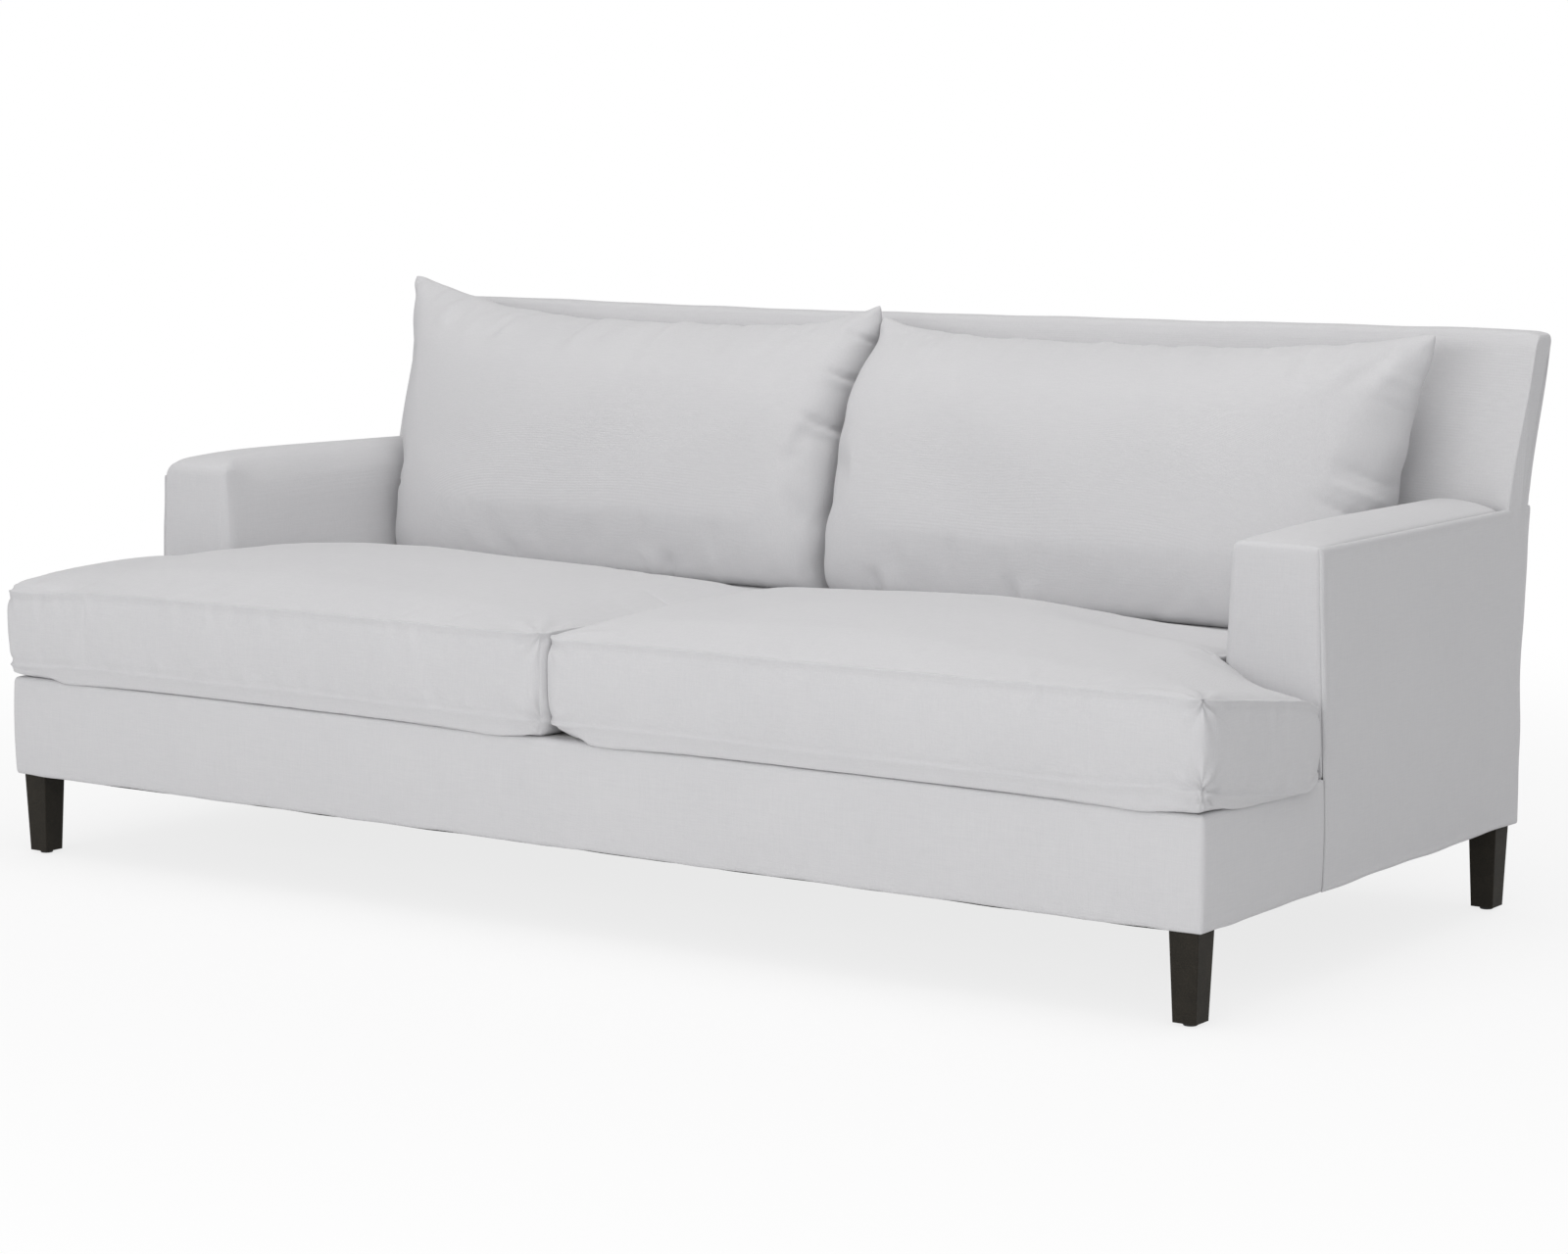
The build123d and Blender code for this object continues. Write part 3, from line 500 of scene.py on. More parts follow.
    skin = Skin()
    top = skin.add(np.stack([px, py, top_z], -1))
    low = skin.add(np.stack([px, py, low_z], -1))
    top = np.where(missing, -1, top)
    low = np.where(missing, -1, low)
    n_i, n_j = X.shape
    ring = [(i, 0) for i in range(n_i - 1)] + [(n_i - 1, j) for j in range(nj)]
    ring += [(i, nj) for i in range(n_i - 1, ni, -1)] + [(ni, j) for j in range(nj, n_j - 1)]
    ring += [(i, n_j - 1) for i in range(ni, 0, -1)] + [(0, j) for j in range(n_j - 1, 0, -1)]
    ri, rj = np.array(ring).T
    seam = np.stack([px[ri, rj], py[ri, rj]], -1)
    outward = outward_of(np.roll(seam, -1, 0) - np.roll(seam, 1, 0))
    path = length_along(seam)
    zu, zl = upper[ri, rj], lower[ri, rj]
    band = [top[ri, rj]]
    for t in SEAT_ROWS:
        push = SEAT_PUSH * math.sin(math.pi * t)
        flat = (seam[:, 1] > SEAT_Y2 - 0.01)[:, None]
        xy = seam + outward * np.where(flat, 0.0, push)
        band.append(skin.add(np.column_stack([xy, zu + (zl - zu) * t])))
    band.append(low[ri, rj])
    band = np.array(band)
    skin.patch(top)
    skin.patch(low, flip=True)
    skin.patch(band, closed=True)

    # Grid places left out by the arm notch hold no faces, so their vertices go
    pts, number = skin.trim()
    band = number[band]
    top_ids, low_ids = number[top[~missing]], number[low[~missing]]
    pts[:, 0] *= sx
    obj = skin.make(f"seat_pad_{side}", pts, WHITE)

    held = np.zeros(len(pts))
    held[low_ids[D[~missing] > 0.05]] = 1.0
    held[top_ids[pts[top_ids, 1] > 0.05]] = 0.9
    held[band[0]] = 0.9
    held[band[-1]] = 0.9
    held[pts[:, 1] > SEAT_Y2 - 0.004] = 1.0
    settle(obj, held, 1.6, 0.006, 0.004)

    # Fullness caught into the seams, pinched corners, and the seams' own ridges
    refine(obj)
    pts = coords_of(obj)
    nrm = normals_of(obj)
    plan = pts[:, :2] * np.array([sx, 1.0])
    k, share, away = along_loop(seam, plan)

    def at_seam(values):
        part = share[:, None] if values.ndim > 1 else share
        return values[k] + (np.roll(values, -1, 0)[k] - values[k]) * part
    s = path[k] + share * np.linalg.norm(np.roll(seam, -1, 0) - seam, axis=1)[k]
    out = at_seam(outward)
    out = np.column_stack([out[:, 0] * sx, out[:, 1], np.zeros(len(out))])
    z_up, z_low = at_seam(zu), at_seam(zl)
    t = (z_up - pts[:, 2]) / (z_up - z_low)
    on_band = smooth_step(((nrm * out).sum(1) - 0.55) / 0.3) * (away < 0.02)
    on_top = smooth_step((nrm[:, 2] - 0.6) / 0.3)
    seen = unit(-out[:, 1] * 1.4 - 0.2) + 0.6 * unit(out[:, 0] * sx)
    lean = s + 0.03 * (t - 0.2)
    patchy = 0.5 + 0.5 * ripple(s, seed + 2, ((0.41, 1.0), (0.23, 0.6)))
    high_folds = ripple(lean, seed, ((0.061, 1.0), (0.037, 0.9), (0.023, 0.7)))
    high_folds = high_folds * np.exp(-((t - 0.10) / 0.22) ** 2)
    low_folds = ripple(lean, seed + 5, ((0.09, 1.0), (0.045, 0.7), (0.026, 0.5)))
    low_folds = low_folds * np.exp(-((t - 0.88) / 0.16) ** 2)
    wide_wave = ripple(s, seed + 8, ((0.33, 1.0), (0.19, 0.7))) * np.sin(np.pi * unit(t))
    folds = 0.0034 * high_folds * patchy + 0.0020 * low_folds + 0.0016 * wide_wave
    move = out * (on_band * seen * folds)[:, None]
    edge_fold = ripple(s + 0.4 * away, seed + 7, ((0.083, 1.0), (0.047, 0.8), (0.029, 0.5)))
    edge_fold = 0.0022 * edge_fold * patchy * on_top * bump((away - 0.020) / 0.055)
    move[:, 2] += edge_fold * smooth_step(away / 0.008) * seen
    ends = ((SEAT_X0, SEAT_Y0, 0.7), (SEAT_X2, SEAT_Y0, spec["pinch"]), (SEAT_X2, SEAT_Y1, 0.12))
    for cx, cy, size in ends:
        flat = plan - np.array([cx, cy])
        reach = np.hypot(flat[:, 0], flat[:, 1])
        turn = np.arctan2(flat[:, 1], flat[:, 0])
        rays = size * 0.0026 * np.sin(turn * 13 + seed) * on_top * bump((reach - 0.05) / 0.085)
        move[:, 2] += rays * smooth_step(away / 0.006)
        here = s[np.argmin(reach)]
        for level, count in ((z_up, 9), (z_low, 11)):
            over, aside = pts[:, 2] - level, np.abs(s - here)
            spoke = np.arctan2(over, aside + 0.002)
            star = np.sin(spoke * count + seed) * bump((np.hypot(over, aside) - 0.022) / 0.045)
            move += out * (size * 0.0024 * star * on_band)[:, None]
            pinch = bump(np.hypot(reach, over) / 0.030)
            move -= out * (size * 0.0055 * pinch)[:, None]
    for level, up, size in ((z_up, 0.75, 0.0028), (z_low, -0.10, 0.0030)):
        off = np.hypot(away, pts[:, 2] - level)
        ridge = size * bump(off / 0.0048) - 0.35 * size * bump((off - 0.0085) / 0.0045)
        move += (out + np.array([0, 0, up])) * ridge[:, None]
    pts = pts + np.where((away > 0.12)[:, None] & (on_top < 0.5)[:, None], 0.0, move)
    bed = np.where(np.abs(pts[:, 0]) > LIP_X, LIP_LOW, ledge(pts[:, 0], pts[:, 1]))
    pts[:, 2] = np.maximum(pts[:, 2], bed)
    pts[:, 1] = np.minimum(pts[:, 1], SEAT_Y2 - 0.0002)
    pts[:, 0] = sx * np.maximum(sx * pts[:, 0], SEAT_GAP)
    set_coords(obj, pts)
    return upholster(obj, f"seat_cushion_{side}", 0.85,
                     f"seat_cushion_cover_{side}", f"seat_cushion_core_{side}")


# Back cushions

# Height of the underside, length up the back and room left to what is behind and below, then the zip's tape:
# its depth ahead of the back and height up it at its lower edge, and the slope of the facet it lies on
PILLOW_LOW, PILLOW_TALL = 0.419, 0.4616
PILLOW_CLEAR = 0.0006
ZIP_DEPTH, ZIP_HEIGHT, ZIP_SLOPE = 0.0203, 0.0235, 0.432
# Strength of the folds, over the sizes given with them
FOLD = 1.6


def surface_of(*objs):
    """Something to measure heights over the finished pieces with."""
    bm = bmesh.new()
    for o in objs:
        done = finished(o)
        bm.from_mesh(done.to_mesh())
        done.to_mesh_clear()
    tree = BVHTree.FromBMesh(bm)
    bm.free()
    return tree


def sine_steps(n, reach):
    """n steps from -1 to 1, closer together towards the ends."""
    return np.sin(np.linspace(-1, 1, n + 1) * np.pi / 2 * reach) / math.sin(np.pi / 2 * reach)


def back_cushion(side, sx, seed, spec, seats):
    """A loose cushion leaning on the back: a front and a rear over one grid, U across and V up, that meet in
    the seam; d is the depth ahead of the back and h the height up it."""
    foot_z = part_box(f"back_cushion_cover_{side}")[1][2] - PILLOW_TALL
    foot_y = back_front(foot_z) - PILLOW_CLEAR
    x_in, x_out = spec["inner_x"], spec["outer_x"]
    u = sine_steps(96, 0.86)
    v = 0.5 + 0.5 * sine_steps(44, 0.80)
    U, V = np.meshgrid(u, v, indexing="ij")
    half = (x_out - x_in) / 2
    centre = (x_out + x_in) / 2
    ear_out = unit(U)
    ear_in = unit(-U)
    mid = spec["mid"]
    top_h = mid + (spec["outer"] - mid) * ear_out ** 3.2 + (spec["inner"] - mid) * ear_in ** 5
    scallop = 0.0026 * ripple(U * half, seed, ((0.155, 1.0), (0.083, 0.7), (0.051, 0.4)))
    top_h = top_h + scallop * (1 - np.abs(U) ** 6)
    draw = np.where(U > 0, 0.004, 0.007) * np.sin(np.pi * V) ** 1.2
    flare = spec["flare"] * unit(V) ** 2.0 + spec["swell"] * smooth_step((V - 0.3) / 0.2)
    X = centre + half * U - draw * np.sign(U) * np.abs(U) ** 6 + flare * ear_out ** 3
    side_wave = 0.0022 * ripple(V * 0.42, seed + 1, ((0.105, 1.0), (0.061, 0.7)))
    X = X + side_wave * np.abs(U) ** 8
    # The upper corners are turned in to blunt tips
    tip_drop = np.zeros(U.shape)
    for end, r in ((1, spec["outer_tip"]), (-1, spec["inner_tip"])):
        p = unit(1 - (1 - end * U) * half / r)
        q = unit(1 - (1 - V) * mid / r)
        X = X - end * r * p * (1 - np.sqrt(1 - q * q / 2))
        tip_drop = tip_drop + r * q * (1 - np.sqrt(1 - p * p / 2))
    seam_d = 0.100 + 0.012 * (1 - V) ** 2
    low_half = smooth_step((0.75 - V) / 0.5)
    boxy = smooth_step((0.97 - V) / 0.35) * (U < 0)
    w_u = unit(1 - np.abs(U) ** (3 + 1.4 * low_half + 16 * boxy))
    w_u = w_u ** (0.50 - 0.16 * np.maximum(low_half, boxy))
    tall = np.abs(2 * V - 1)
    w_v = np.where(V > 0.5, unit(1 - tall ** 2.4) ** 0.58, unit(1 - tall ** 4.0) ** 0.45)
    fill = w_u * w_v
    front_d = seam_d + (spec["belly"] - seam_d) * fill
    rear_d = seam_d - 0.150 * fill

    def height(d):
        low = (PILLOW_LOW - foot_z - d * math.sin(LEAN)) / math.cos(LEAN)
        return low + (top_h - low) * V - tip_drop
    # The rear lies against the back, and below that on the facet that carries the zip
    soft = 0.003
    rear_d = rear_plain = soft * np.logaddexp(0, rear_d / soft)
    for _ in range(4):
        facet = np.clip(ZIP_DEPTH - ZIP_SLOPE * (height(rear_d) - ZIP_HEIGHT), 0, 0.034)
        rear_d = np.maximum(np.maximum(rear_plain, facet), 0.0004)
    H = height(front_d)
    H_rear = height(rear_d)

    def place(x, d, h):
        y = -d * math.cos(LEAN) + h * math.sin(LEAN)
        z = d * math.sin(LEAN) + h * math.cos(LEAN)
        return np.stack([sx * x, foot_y + y, foot_z + z], -1)

    rim = np.zeros(U.shape, bool)
    rim[[0, -1], :] = True
    rim[:, [0, -1]] = True
    skin = Skin()
    front = skin.add(place(X, front_d, H))
    rear = skin.add(place(X, rear_d, H_rear))
    rear = np.where(rim, front, rear)
    skin.patch(front)
    skin.patch(rear, flip=True)
    pts, number = skin.trim()
    front, rear = number[front], number[rear]
    obj = skin.make(f"back_pillow_{side}", pts, WHITE)

    held = np.zeros(len(pts))
    held[rear[rear_d < 0.035]] = 1.0
    held[front[rim]] = 0.85
    held[front[V < 0.06]] = 1.0
    settle(obj, held, 1.5, 0.007, 0.006)

    # Puckers drawn from the seams
    refine(obj)
    pts = coords_of(obj)
    nrm = normals_of(obj)
    x = sx * pts[:, 0]
    rel_y, rel_z = pts[:, 1] - foot_y, pts[:, 2] - foot_z
    h = rel_y * math.sin(LEAN) + rel_z * math.cos(LEAN)
    facing = smooth_step((nrm[:, 2] * math.sin(LEAN) - nrm[:, 1] * math.cos(LEAN) + 0.25) / 0.4)
    share = np.clip(h / mid, 0, 1.2)
    side_out = x_out + spec["flare"] * share ** 2
    across = np.clip((x - centre) / (side_out - centre), -1, 1)
    top = np.interp(across, u, top_h[:, -1])
    down = unit(top - h)
    up = unit(pts[:, 2] - 0.432)
    gather = 0.0022 * ripple(x - 0.2 * down, seed + 3, ((0.071, 1.0), (0.043, 0.9), (0.027, 0.7)))
    move = gather * np.exp(-((down - 0.012) / 0.030) ** 2)
    gather = 0.0012 * ripple(x, seed + 4, ((0.083, 1.0), (0.051, 0.8), (0.031, 0.5)))
    move += gather * np.exp(-((up - 0.01) / 0.030) ** 2)
    wide_wave = 0.0022 * ripple(x * 0.6 + h, seed + 6, ((0.37, 1.0), (0.21, 0.6)))
    move += wide_wave * bump(across) * bump((share - 0.5) / 0.6)
    for at, reach, size, width, slant in spec["top_folds"]:
        crease = bump((x - at - slant * down) / (width * (1 + down / reach)))
        move += FOLD * size * crease * bump((down - 0.8 * reach) / (0.8 * reach))
    for at, reach, size, width in spec["low_folds"]:
        crease = bump((x - at) / (width * (1 + 1.5 * up / reach)))
        move += FOLD * size * crease * bump((up - 0.02) / reach)
    for at, reach, size, width, end in spec["side_folds"]:
        inward = unit(side_out - x if end > 0 else x - x_in)
        crease = bump((h - at - 0.25 * inward) / width)
        move += FOLD * size * crease * bump((inward - 0.01) / reach)
    edge = np.minimum.reduce([down, side_out - x, x - x_in])
    pts += nrm * (move * facing * smooth_step(edge / 0.004))[:, None]
    # Stand on the seat cushions and stay clear of the back and the other cushion
    for p in pts:
        if p[2] < 0.53:
            hit = seats.ray_cast(Vector((p[0], p[1], 1.0)), Vector((0, 0, -1)))[0]
            if hit is not None:
                p[2] = max(p[2], hit.z + PILLOW_CLEAR)
    pts[:, 1] = np.minimum(pts[:, 1], back_front(pts[:, 2]) - PILLOW_CLEAR)
    pts[:, 0] = sx * np.maximum(sx * pts[:, 0], x_in - 0.001)
    set_coords(obj, pts)
    upholster(obj, f"back_cushion_{side}", 0.6, f"back_cushion_cover_{side}", f"back_cushion_fill_{side}")


# Fixed upholstery

# Foot of the arms and the back, thickness of the panels, how far along an arm its edge's blunting fades, and
# the radius of that edge on the left
FOOT = BASE_TOP + 0.001
PANEL = 0.0045
BLUNT_FADE = 0.12
LEFT_BLUNT = 0.020


def blunting(blunt, along):
    return blunt * (1 - 0.5 * smooth_step(along / BLUNT_FADE))


def capped_sweep(name, rings):
    """Closed rings joined to each other, each end closed by rings that shrink to a point."""
    skin = Skin()
    ids = np.array([skin.add(r) for r in rings])
    skin.patch(ids, closed=True)
    for end in (0, -1):
        ring = rings[end]
        middle = ring.mean(axis=0)
        inner = [ids[end]]
        for k in (0.94, 0.85, 0.7, 0.5, 0.3, 0.12):
            inner.append(skin.add(middle + (ring - middle) * k))
        skin.patch(np.array(inner), closed=True, flip=(end == 0))
        skin.faces.append(inner[-1][None, ::-1] if end == 0 else inner[-1][None, :])
    return skin.make(name, skin.array(), WHITE)


def spread(points, step):
    """A closed outline with points about step apart, corners kept."""
    out = []
    for a, b in zip(points, points[1:] + points[:1]):
        a, b = np.array(a), np.array(b)
        n = max(1, int(round(np.linalg.norm(b - a) / step)))
        out += [a + (b - a) * k / n for k in range(n)]
    return np.array(out)


def arc(cx, cy, r, a0, a1, n):
    angles = [math.radians(a) for a in np.linspace(a0, a1, n)]
    return [(cx + r * math.cos(a), cy + r * math.sin(a)) for a in angles]


def run(a, b, n):
    """n points from a towards b, b left out."""
    return [tuple(np.array(a) + (np.array(b) - np.array(a)) * k / n) for k in range(n)]


def arm_outline(r, blunt):
    """The arm's section: inner side, edge of radius r, top, outer seam or blunt edge, outer side, foot."""
    lean = (ARM_INNER_TOP - ARM_INNER_FOOT) / (ARM_TOP - BASE_TOP)
    low = BASE_TOP - 0.0065
    inner_foot, outer_foot = (ARM_INNER_FOOT, FOOT), (HALF_WIDTH - PANEL, low)
    deck_side, deck_edge = (0.978, low), (0.966, FOOT)
    outer_top = (ARM_OUTER_TOP - 0.0035, ARM_TOP - 0.0005)
    edge = arc(ARM_INNER_TOP + r, ARM_TOP - r, r, 176, 94, 9)
    points = run(inner_foot, (ARM_INNER_TOP - lean * r, ARM_TOP - r), 18) + edge
    corner = [outer_top]
    if blunt > 0:
        corner = arc(outer_top[0] - blunt, outer_top[1] - blunt, blunt, 90, 0, 7)
    points += run((ARM_INNER_TOP + r, ARM_TOP), tuple(corner[0]), 9) + corner
    points += run((outer_top[0], corner[-1][1] - 0.004), outer_foot, 18) + run(outer_foot, deck_side, 6)
    points += run(deck_side, deck_edge, 1) + run(deck_edge, inner_foot, 3)
    return np.array(points)


def arm(side, sx, rise, blunt, fold):
    """rise: lift of the top, front and rear; blunt, fold: radius of the outer edge and the front's fold."""
    middle = np.array([(ARM_INNER_FOOT + HALF_WIDTH) / 2, 0.45])
    half_size = np.array([0.0825, 0.16])
    rings = []
    stations = [0.0, 0.0008, 0.0022, 0.0045, 0.008, 0.012, 0.018, 0.026, 0.036, 0.05, 0.066, 0.085]
    stations += [0.085 + 0.0235 * k for k in range(1, 22)]
    for d in stations:
        section = arm_outline(0.012 + 0.028 * smooth_step(d / 0.09), blunting(blunt, d))
        on_top = smooth_step((section[:, 1] - ARM_TOP + 0.030) / 0.030)
        across = unit((section[:, 0] - ARM_INNER_TOP) / (ARM_OUTER_TOP - ARM_INNER_TOP))
        inner_side = unit(1 - (section[:, 0] - ARM_INNER_FOOT) / 0.03)
        # The front's edge: a soft fold down the inner side, a tight seam over the top
        turn = 0.006 + fold * inner_side * (1 - on_top) + 0.3 * blunt * on_top
        inset = turn - np.sqrt(turn ** 2 - unit(turn - d) ** 2)
        inset = inset - 0.0010 * bump((d - 0.006) / 0.004) + 0.0008 * bump((d - 0.013) / 0.006)
        inset = inset * smooth_step((section[:, 1] - FOOT) / 0.05)
        s = middle + (section - middle) * (1 - inset[:, None] / half_size)
        swell = 0.019 * (1 - math.exp(-d / 0.055)) * (1 - 0.20 * d / 0.6)
        z = s[:, 1] + on_top * swell * np.sin(np.pi * unit(0.12 + 0.88 * across)) ** 0.75
        z = z + on_top * (rise[0] + (rise[1] - rise[0]) * d / 0.5) * min(1, d / 0.03)
        ease = math.sin(math.pi * min(1, d / 0.5)) ** 0.7 if d > 0 else 0.0
        full = ease * np.sin(np.pi * unit((z - FOOT) / 0.32))
        x = s[:, 0] - inner_side * 0.003 - inner_side * 0.003 * full
        y = np.full(len(x), ARM_FRONT + d)
        y = np.minimum(y, back_front(z) + 0.002)
        rings.append(np.column_stack([sx * x, y, z]))
    obj = capped_sweep(f"arm_upholstery_{side}", rings)
    pts = coords_of(obj)
    face = pts[:, 1] < ARM_FRONT + 0.0001
    u = (sx * pts[:, 0] - 1.0) / 0.08
    w = (pts[:, 2] - 0.45) / 0.16
    pts[:, 1] -= np.where(face, 0.0045 * unit(1 - u * u) * unit(1 - w * w), 0.0)
    set_coords(obj, pts)
    upholster(obj, "frame", 0.9, f"arm_cover_{side}", f"arm_pad_{side}")


def back_line(x, z):
    """How far the back's upper edge strays from level: lower on the left, a little higher on the right."""
    places = (-1.08, -0.95, -0.50, -0.19, 0.0, 0.32, 0.64, 0.95, 1.04, 1.09)
    drops = (-0.006, -0.0066, -0.0079, -0.0065, -0.0057, -0.0025, 0.002, 0.004, 0.003, 0.0)
    return soft_line(places, drops, x, 0.08) * unit((z - 0.78) / 0.06)


def spread_end(x, z):
    """How far the back's upper end moves along x: spread on the right, drawn in on the left."""
    return np.where(x > 0, 0.011, 0.009) * smooth_step((z - ARM_TOP - 0.02) / 0.22)


def back():
    r = 0.018
    seam, step = BACK_TOP - 0.022, BACK_TOP - 0.024
    outline = [(BACK_FOOT, FOOT), (back_front(BACK_TOP - r) + 0.001, BACK_TOP - r)]
    outline += arc(back_front(BACK_TOP) + r * 0.95, BACK_TOP - r, r, 165, 100, 5)
    outline += arc(BACK_TOP_REAR - 0.011, BACK_TOP - 0.011, 0.011, 85, 0, 4)
    outline += [(float(back_rear(seam)), seam), (float(back_rear(step)) - PANEL, step)]
    outline += [(BASE_REAR - PANEL, BACK_BEND), (BASE_REAR - PANEL, FOOT)]
    section = spread(outline, 0.022)
    middle = np.array([0.45, 0.60])
    half_size = np.array([0.045, 0.28])
    end = ARM_OUTER_TOP
    steps = [(end, 0.0060), (end - 0.0015, 0.0030), (end - 0.004, 0.0010), (end - 0.009, 0.0)]
    steps += [(end - d, 0.0) for d in (0.018, 0.028, 0.042, 0.062)]
    rings = []
    inside = np.linspace(-(end - 0.062), end - 0.062, 82)[1:-1]
    stations = [(-x, i) for x, i in steps] + [(x, 0.0) for x in inside] + [(x, i) for x, i in reversed(steps)]
    for x, inset in stations:
        s = middle + (section - middle) * (1 - inset / half_size)
        y, z = s[:, 0].copy(), s[:, 1].copy()
        high = unit((z - 0.80) / 0.06)
        z += high * 0.0016 * ripple(x, 4.0) * (abs(x) < end - 0.01) + back_line(x, z)
        fore = unit((back_front(z) + 0.02 - y) / 0.02)
        y -= fore * 0.004 * (1 - (x / end) ** 4) * np.sin(np.pi * unit((z - 0.29) / 0.6))
        wider = spread_end(x, z) * abs(x / end) ** 9
        rings.append(np.column_stack([x + wider, y, z]))
    upholster(capped_sweep("back_upholstery", rings), "frame", 0.9, "back_cover", "back_pad")


def base_band():
    """A C-shaped band swept round the front of the base."""
    r = 0.006
    end, side, front = ARM_FRONT - 0.0002, HALF_WIDTH - r, BASE_FRONT + r
    turn = np.linspace(0.25, math.pi / 2 - 0.25, 4)
    path = [(-HALF_WIDTH, y) for y in np.linspace(end, front, 22)]
    path += [(-side - r * math.cos(a), front - r * math.sin(a)) for a in turn]
    path += [(x, BASE_FRONT) for x in np.linspace(-side, side, 130)]
    path += [(side + r * math.sin(a), front - r * math.cos(a)) for a in turn]
    path += [(HALF_WIDTH, y) for y in np.linspace(front, end, 22)]
    path = np.array(path)
    out = outward_of(np.gradient(path, axis=0))
    along = length_along(path)
    # Inward depth and height of the band's outside, hem first
    prof = [(0.020, 0.130), (0.010, 0.130), (0.0045, 0.1302), (0.0012, 0.1318), (0.0, 0.1355), (0.0, 0.145)]
    prof += [(0.0, z) for z in (0.165, 0.19, 0.215, 0.24, 0.258, 0.272)]
    prof += [(0.0, 0.281), (0.0008, 0.2855), (0.0030, 0.2886), (0.0075, 0.2899)]
    prof += [(0.014, 0.29), (0.024, 0.29), (0.031, 0.2895)]
    outside, inside = [], []
    meets_arm = bump(np.minimum(along, along[-1] - along) / 0.03)
    for depth, z in prof:
        t = (z - BASE_BOTTOM) / (BASE_TOP - BASE_BOTTOM)
        puff = 0.0026 * math.sin(math.pi * t) ** 0.8 if 0 < t < 1 else 0.0
        low, high = (1 - t) ** 3, t ** 3
        wave = 0.0011 * ripple(along, 1.0, ((0.31, 1.0), (0.13, 0.6), (0.071, 0.4))) * (low - 0.3 * high)
        crease = 0.0009 * ripple(along, 6.0, ((0.11, 1.0), (0.063, 0.7))) * (low + 0.5 * high)
        square = meets_arm * (z > 0.275)
        xy = path + out * (puff - depth + square * min(depth, 0.003) + crease)[:, None]
        outside.append(np.column_stack([xy, z + 0.6 * square * (BASE_TOP - z) + wave]))
        xy = path + out * (puff - max(depth, 0.0028))
        inside.append(np.column_stack([xy, np.clip(z + wave, 0.1322, 0.2872)]))
    skin = Skin()
    a = np.array([skin.add(p) for p in outside])
    b = np.array([skin.add(p) for p in inside])
    skin.patch(a)
    skin.patch(b, flip=True)
    for p, q in ((a[0], b[0]), (a[-1], b[-1]), (a[:, 0], b[:, 0]), (a[:, -1], b[:, -1])):
        skin.patch(np.array([p, q]))
    obj = skin.make("base_band_upholstery", skin.array(), WHITE)
    upholster(obj, "frame", 1.0, "base_front_band", "base_front_pad",
              "base_side_pad_left", "base_side_pad_right")


def slab(name, outer, inner):
    """A thin closed panel between two matching grids, joined round their rims."""
    skin = Skin()
    a = skin.add(outer)
    b = skin.add(inner)
    skin.patch(a)
    skin.patch(b, flip=True)

    def rim(grid):
        return np.concatenate([grid[:-1, 0], grid[-1, :-1], grid[:0:-1, -1], grid[0, :0:-1]])
    skin.patch(np.array([rim(a), rim(b)]), closed=True, flip=True)
    return skin.make(name, skin.array(), WHITE)


def side_cloth(side, sx, seed, blunt):
    zs = lines(BASE_BOTTOM, ARM_TOP - 0.0005, 0.016, (0.0, 0.0025, 0.006, 0.012, 0.022))
    us = lines(0.0, 1.0, 0.026, (0.0, 0.004, 0.010, 0.018, 0.034))
    U, Z = np.meshgrid(us, zs, indexing="ij")
    front = ARM_FRONT + 0.0025
    rear = back_rear(Z) + 0.0005
    Y = front + (rear - front) * U
    lean = (HALF_WIDTH - ARM_OUTER_TOP) / (ARM_TOP - BASE_TOP)
    t = (Z - BASE_BOTTOM) / (ARM_TOP - BASE_BOTTOM)
    # The upper edge keeps below the arm's blunt edge
    drop = blunting(blunt, Y - ARM_FRONT)
    Z = Z - drop * t ** 4
    X = HALF_WIDTH - unit(Z - BASE_TOP) * lean
    puff = 0.0045 * unit(4 * U * (1 - U)) ** 0.6 * unit(4 * t * (1 - t)) ** 0.5
    edge = np.minimum.reduce([Y - front, rear - Y, Z - BASE_BOTTOM, ARM_TOP - 0.0005 - drop - Z])
    ridge = 0.0016 * bump((edge - 0.0045) / 0.006) - 0.0022 * bump(edge / 0.004)
    ridge = ridge - 0.0010 * bump((edge - 0.015) / 0.008)
    pull = 0.0010 * ripple(Z + 0.4 * Y, seed, ((0.21, 1.0), (0.12, 0.7), (0.07, 0.4)))
    X_plain, X = X, X + puff + ridge + pull * bump((Y - front) / 0.12)
    wave = 0.0014 * ripple(Y, seed + 2, ((0.33, 1.0), (0.14, 0.6))) * (1 - t) ** 6
    Zw = Z + wave
    Yw = Y + 0.0016 * ripple(Z, seed + 4, ((0.19, 1.0), (0.085, 0.6))) * U ** 8
    outer = np.stack([sx * X, Yw, Zw], -1)
    inner = np.stack([sx * (X_plain - PANEL), Yw, Zw], -1)
    upholster(slab(f"side_cloth_{side}", outer, inner), "frame", 1.0, f"side_panel_{side}")


